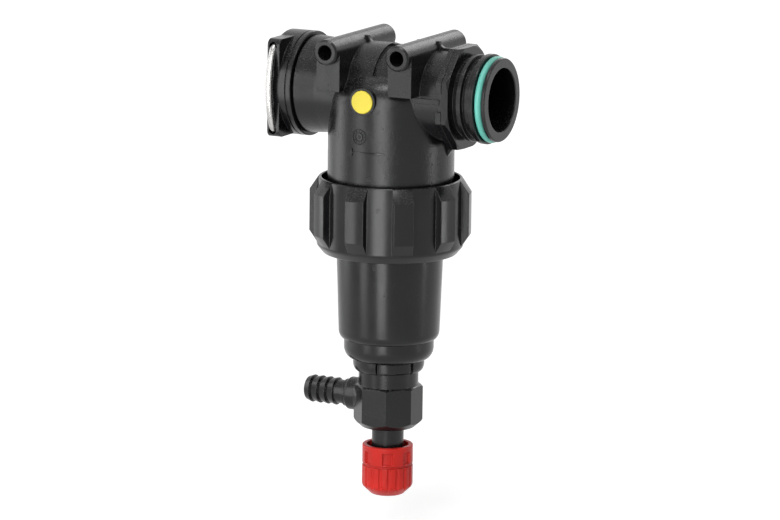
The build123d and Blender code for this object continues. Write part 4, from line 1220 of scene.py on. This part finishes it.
class FILTER_OT_make_studio(bpy.types.Operator):
    """Set up the camera, the pale floor and the soft lamps"""

    bl_idname = "filter.make_studio"
    bl_label = "Make Studio"

    def execute(self, context):
        s = context.scene.filter_studio
        scene = context.scene
        scene.view_settings.view_transform = "Standard"
        back, side, up = self.view_axes(s)
        target = Vector((0, 0, -s.middle_drop))
        data = bpy.data.cameras.new("studio_camera")
        data.sensor_width = SENSOR_WIDTH
        data.sensor_fit = "HORIZONTAL"
        data.lens = s.distance / s.pixel_size * SENSOR_WIDTH / PICTURE_WIDTH
        data.shift_x = PICTURE_SHIFT / PICTURE_WIDTH
        data.clip_start, data.clip_end = 0.05, 50.0
        camera = bpy.data.objects.new("studio_camera", data)
        scene.collection.objects.link(camera)
        stance = Matrix((side, up, back)).transposed().to_4x4()
        stance.translation = target + back * s.distance
        camera.matrix_world = stance
        scene.camera = camera
        self.floor(s)
        self.room(scene, s)
        for name, turn, rise, reach, width, height, power in LAMPS:
            self.lamp(scene, s, name, math.radians(turn), rise, reach, width, height, getattr(s, power))
        return {"FINISHED"}

    def view_axes(self, s):
        """Camera's axes: back towards it, then side and up, turned by the roll."""
        a, p, roll = s.azimuth, s.pitch, s.roll
        back = Vector((math.sin(a) * math.cos(p), -math.cos(a) * math.cos(p), math.sin(p)))
        right = Vector((math.cos(a), math.sin(a), 0))
        top = back.cross(right)
        side = right * math.cos(roll) + top * math.sin(roll)
        up = top * math.cos(roll) - right * math.sin(roll)
        return back, side, up

    def lamp(self, scene, s, name, turn, rise, reach, width, height, power):
        """Area lamp that looks at the object, turned from the camera's side about the upright axis."""
        aim = Vector((0, 0, -AIM_DROP))
        angle = s.azimuth + turn
        place = aim + Vector((reach * math.sin(angle), -reach * math.cos(angle), rise))
        data = bpy.data.lights.new(name, "AREA")
        data.shape = "RECTANGLE"
        data.size, data.size_y = width, height
        data.energy = power
        lamp = bpy.data.objects.new(name, data)
        lamp.location = place
        lamp.visible_camera = False
        lamp.rotation_mode = "QUATERNION"
        lamp.rotation_quaternion = (aim - place).to_track_quat("-Z", "Y")
        scene.collection.objects.link(lamp)

    def floor(self, s):
        """Round floor sheet under the object: a polar grid, whose rings widen with the square of their
        number, closed by one face in the middle."""
        z = cad_box[0].z - s.floor_gap
        r = FLOOR_RADIUS * np.linspace(0, 1, FLOOR_RINGS + 1)[1:, None] ** 2
        u = np.linspace(0, 2 * math.pi, FLOOR_COLUMNS, endpoint=False)[None, :]
        points = np.stack([r * np.cos(u), r * np.sin(u), z + 0 * r * u], -1).reshape(-1, 3)
        rings = grid_faces(FLOOR_RINGS, FLOOR_COLUMNS, wrap_columns=True)[:, ::-1]
        mesh = bpy.data.meshes.new("studio_floor")
        mesh.from_pydata(points.tolist(), [], rings.tolist() + [list(range(FLOOR_COLUMNS))])
        mesh.update()
        mesh.materials.append(self.paper(s))
        floor = bpy.data.objects.new("studio_floor", mesh)
        bpy.context.scene.collection.objects.link(floor)

    def paper(self, s):
        """Matt paper, to which a view of it adds a glow that rises from near the object to far out."""
        material, tree, shader = new_material("floor_paper", s.floor_colour)
        shader.inputs["Roughness"].default_value = 0.9
        shader.inputs["Specular IOR Level"].default_value = 0.1
        place = add_node(tree, "ShaderNodeTexCoord", (-700, 0)).outputs["Object"]
        fibres = add_node(tree, "ShaderNodeTexNoise", (-500, 0), inputs={"Scale": 60.0, "Detail": 3.0})
        tree.links.new(place, fibres.inputs["Vector"])
        tone = mixed(tree, fibres.outputs["Fac"], lighter(s.floor_colour, 0.985), s.floor_colour, (-200, 100))
        tree.links.new(tone, shader.inputs["Base Color"])
        away = add_node(tree, "ShaderNodeVectorMath", (-400, -450), operation="LENGTH")
        tree.links.new(place, away.inputs[0])
        outward = ramp(tree, away.outputs["Value"], GLOW_START, GLOW_END, (-200, -450))
        rise = maths(tree, "MULTIPLY", outward, s.far_glow - s.floor_glow, (0, -450))
        level = maths(tree, "ADD", rise, s.floor_glow, (150, -450))
        glow = add_node(tree, "ShaderNodeEmission", (150, -150))
        shown = maths(tree, "MULTIPLY", seen_rays(tree, -200, -300), level, (400, -300))
        tree.links.new(shown, glow.inputs["Strength"])
        blend = add_node(tree, "ShaderNodeAddShader", (600, -100))
        tree.links.new(shader.outputs[0], blend.inputs[0])
        tree.links.new(glow.outputs[0], blend.inputs[1])
        out = next(n for n in tree.nodes if n.type == "OUTPUT_MATERIAL")
        tree.links.new(blend.outputs[0], out.inputs["Surface"])
        return material

    def room(self, scene, s):
        """White room that is seen at full white and lights the object at its own level."""
        world = bpy.data.worlds.new("studio_room")
        world.use_nodes = True
        tree = world.node_tree
        tree.nodes.clear()
        white = (1, 1, 1, 1)
        light = add_node(
            tree, "ShaderNodeBackground", (-200, 0), inputs={"Color": white, "Strength": s.world_level})
        shown = add_node(tree, "ShaderNodeBackground", (-200, -150), inputs={"Color": white, "Strength": 1.0})
        blend = add_node(tree, "ShaderNodeMixShader", (100, 0))
        tree.links.new(seen_rays(tree, -600, 200), blend.inputs[0])
        tree.links.new(light.outputs[0], blend.inputs[1])
        tree.links.new(shown.outputs[0], blend.inputs[2])
        out = add_node(tree, "ShaderNodeOutputWorld", (300, 0))
        tree.links.new(blend.outputs[0], out.inputs["Surface"])
        scene.world = world


class FILTER_PT_sidebar(bpy.types.Panel):
    """Sizes, finishes and steps of the inline filter"""

    bl_idname = "FILTER_PT_sidebar"
    bl_label = "Inline Filter"
    bl_space_type = "VIEW_3D"
    bl_region_type = "UI"
    bl_category = "Inline Filter"

    def draw(self, context):
        for title, group in (
            ("Finish", context.scene.filter_finish),
            ("Marks", context.scene.filter_marks),
            ("Forms", context.scene.filter_forms),
            ("Studio", context.scene.filter_studio),
        ):
            box = self.layout.box()
            box.label(text=title)
            for name in group.__annotations__:
                box.prop(group, name)
        for step in STEPS:
            self.layout.operator(step.bl_idname)


SETTINGS = {
    "filter_finish": FilterFinishSettings,
    "filter_marks": FilterMarkSettings,
    "filter_forms": FilterFormSettings,
    "filter_studio": FilterStudioSettings,
}
STEPS = (
    FILTER_OT_make_effects,
    FILTER_OT_finish_black,
    FILTER_OT_finish_colours,
    FILTER_OT_finish_seals,
    FILTER_OT_finish_steel,
    FILTER_OT_add_screen,
    FILTER_OT_add_neck_marks,
    FILTER_OT_add_neck_thread,
    FILTER_OT_add_ring_nut,
    FILTER_OT_add_bowl,
    FILTER_OT_add_fork,
    FILTER_OT_add_knob,
    FILTER_OT_add_tail_flare,
    FILTER_OT_add_head_ribs,
    FILTER_OT_make_studio,
)


def register():
    for name, group in SETTINGS.items():
        bpy.utils.register_class(group)
        setattr(bpy.types.Scene, name, PointerProperty(type=group))
    for step in STEPS:
        bpy.utils.register_class(step)
    bpy.utils.register_class(FILTER_PT_sidebar)


def unregister():
    bpy.utils.unregister_class(FILTER_PT_sidebar)
    for step in reversed(STEPS):
        bpy.utils.unregister_class(step)
    for name, group in SETTINGS.items():
        delattr(bpy.types.Scene, name)
        bpy.utils.unregister_class(group)


def main():
    """Runs every step in order."""
    register()
    bpy.ops.filter.make_effects()
    bpy.ops.filter.finish_black()
    bpy.ops.filter.finish_colours()
    bpy.ops.filter.finish_seals()
    bpy.ops.filter.finish_steel()
    bpy.ops.filter.add_screen()
    bpy.ops.filter.add_neck_marks()
    bpy.ops.filter.add_neck_thread()
    bpy.ops.filter.add_ring_nut()
    bpy.ops.filter.add_bowl()
    bpy.ops.filter.add_fork()
    bpy.ops.filter.add_knob()
    bpy.ops.filter.add_tail_flare()
    bpy.ops.filter.add_head_ribs()
    bpy.ops.filter.make_studio()


if __name__ == "__main__":
    main()
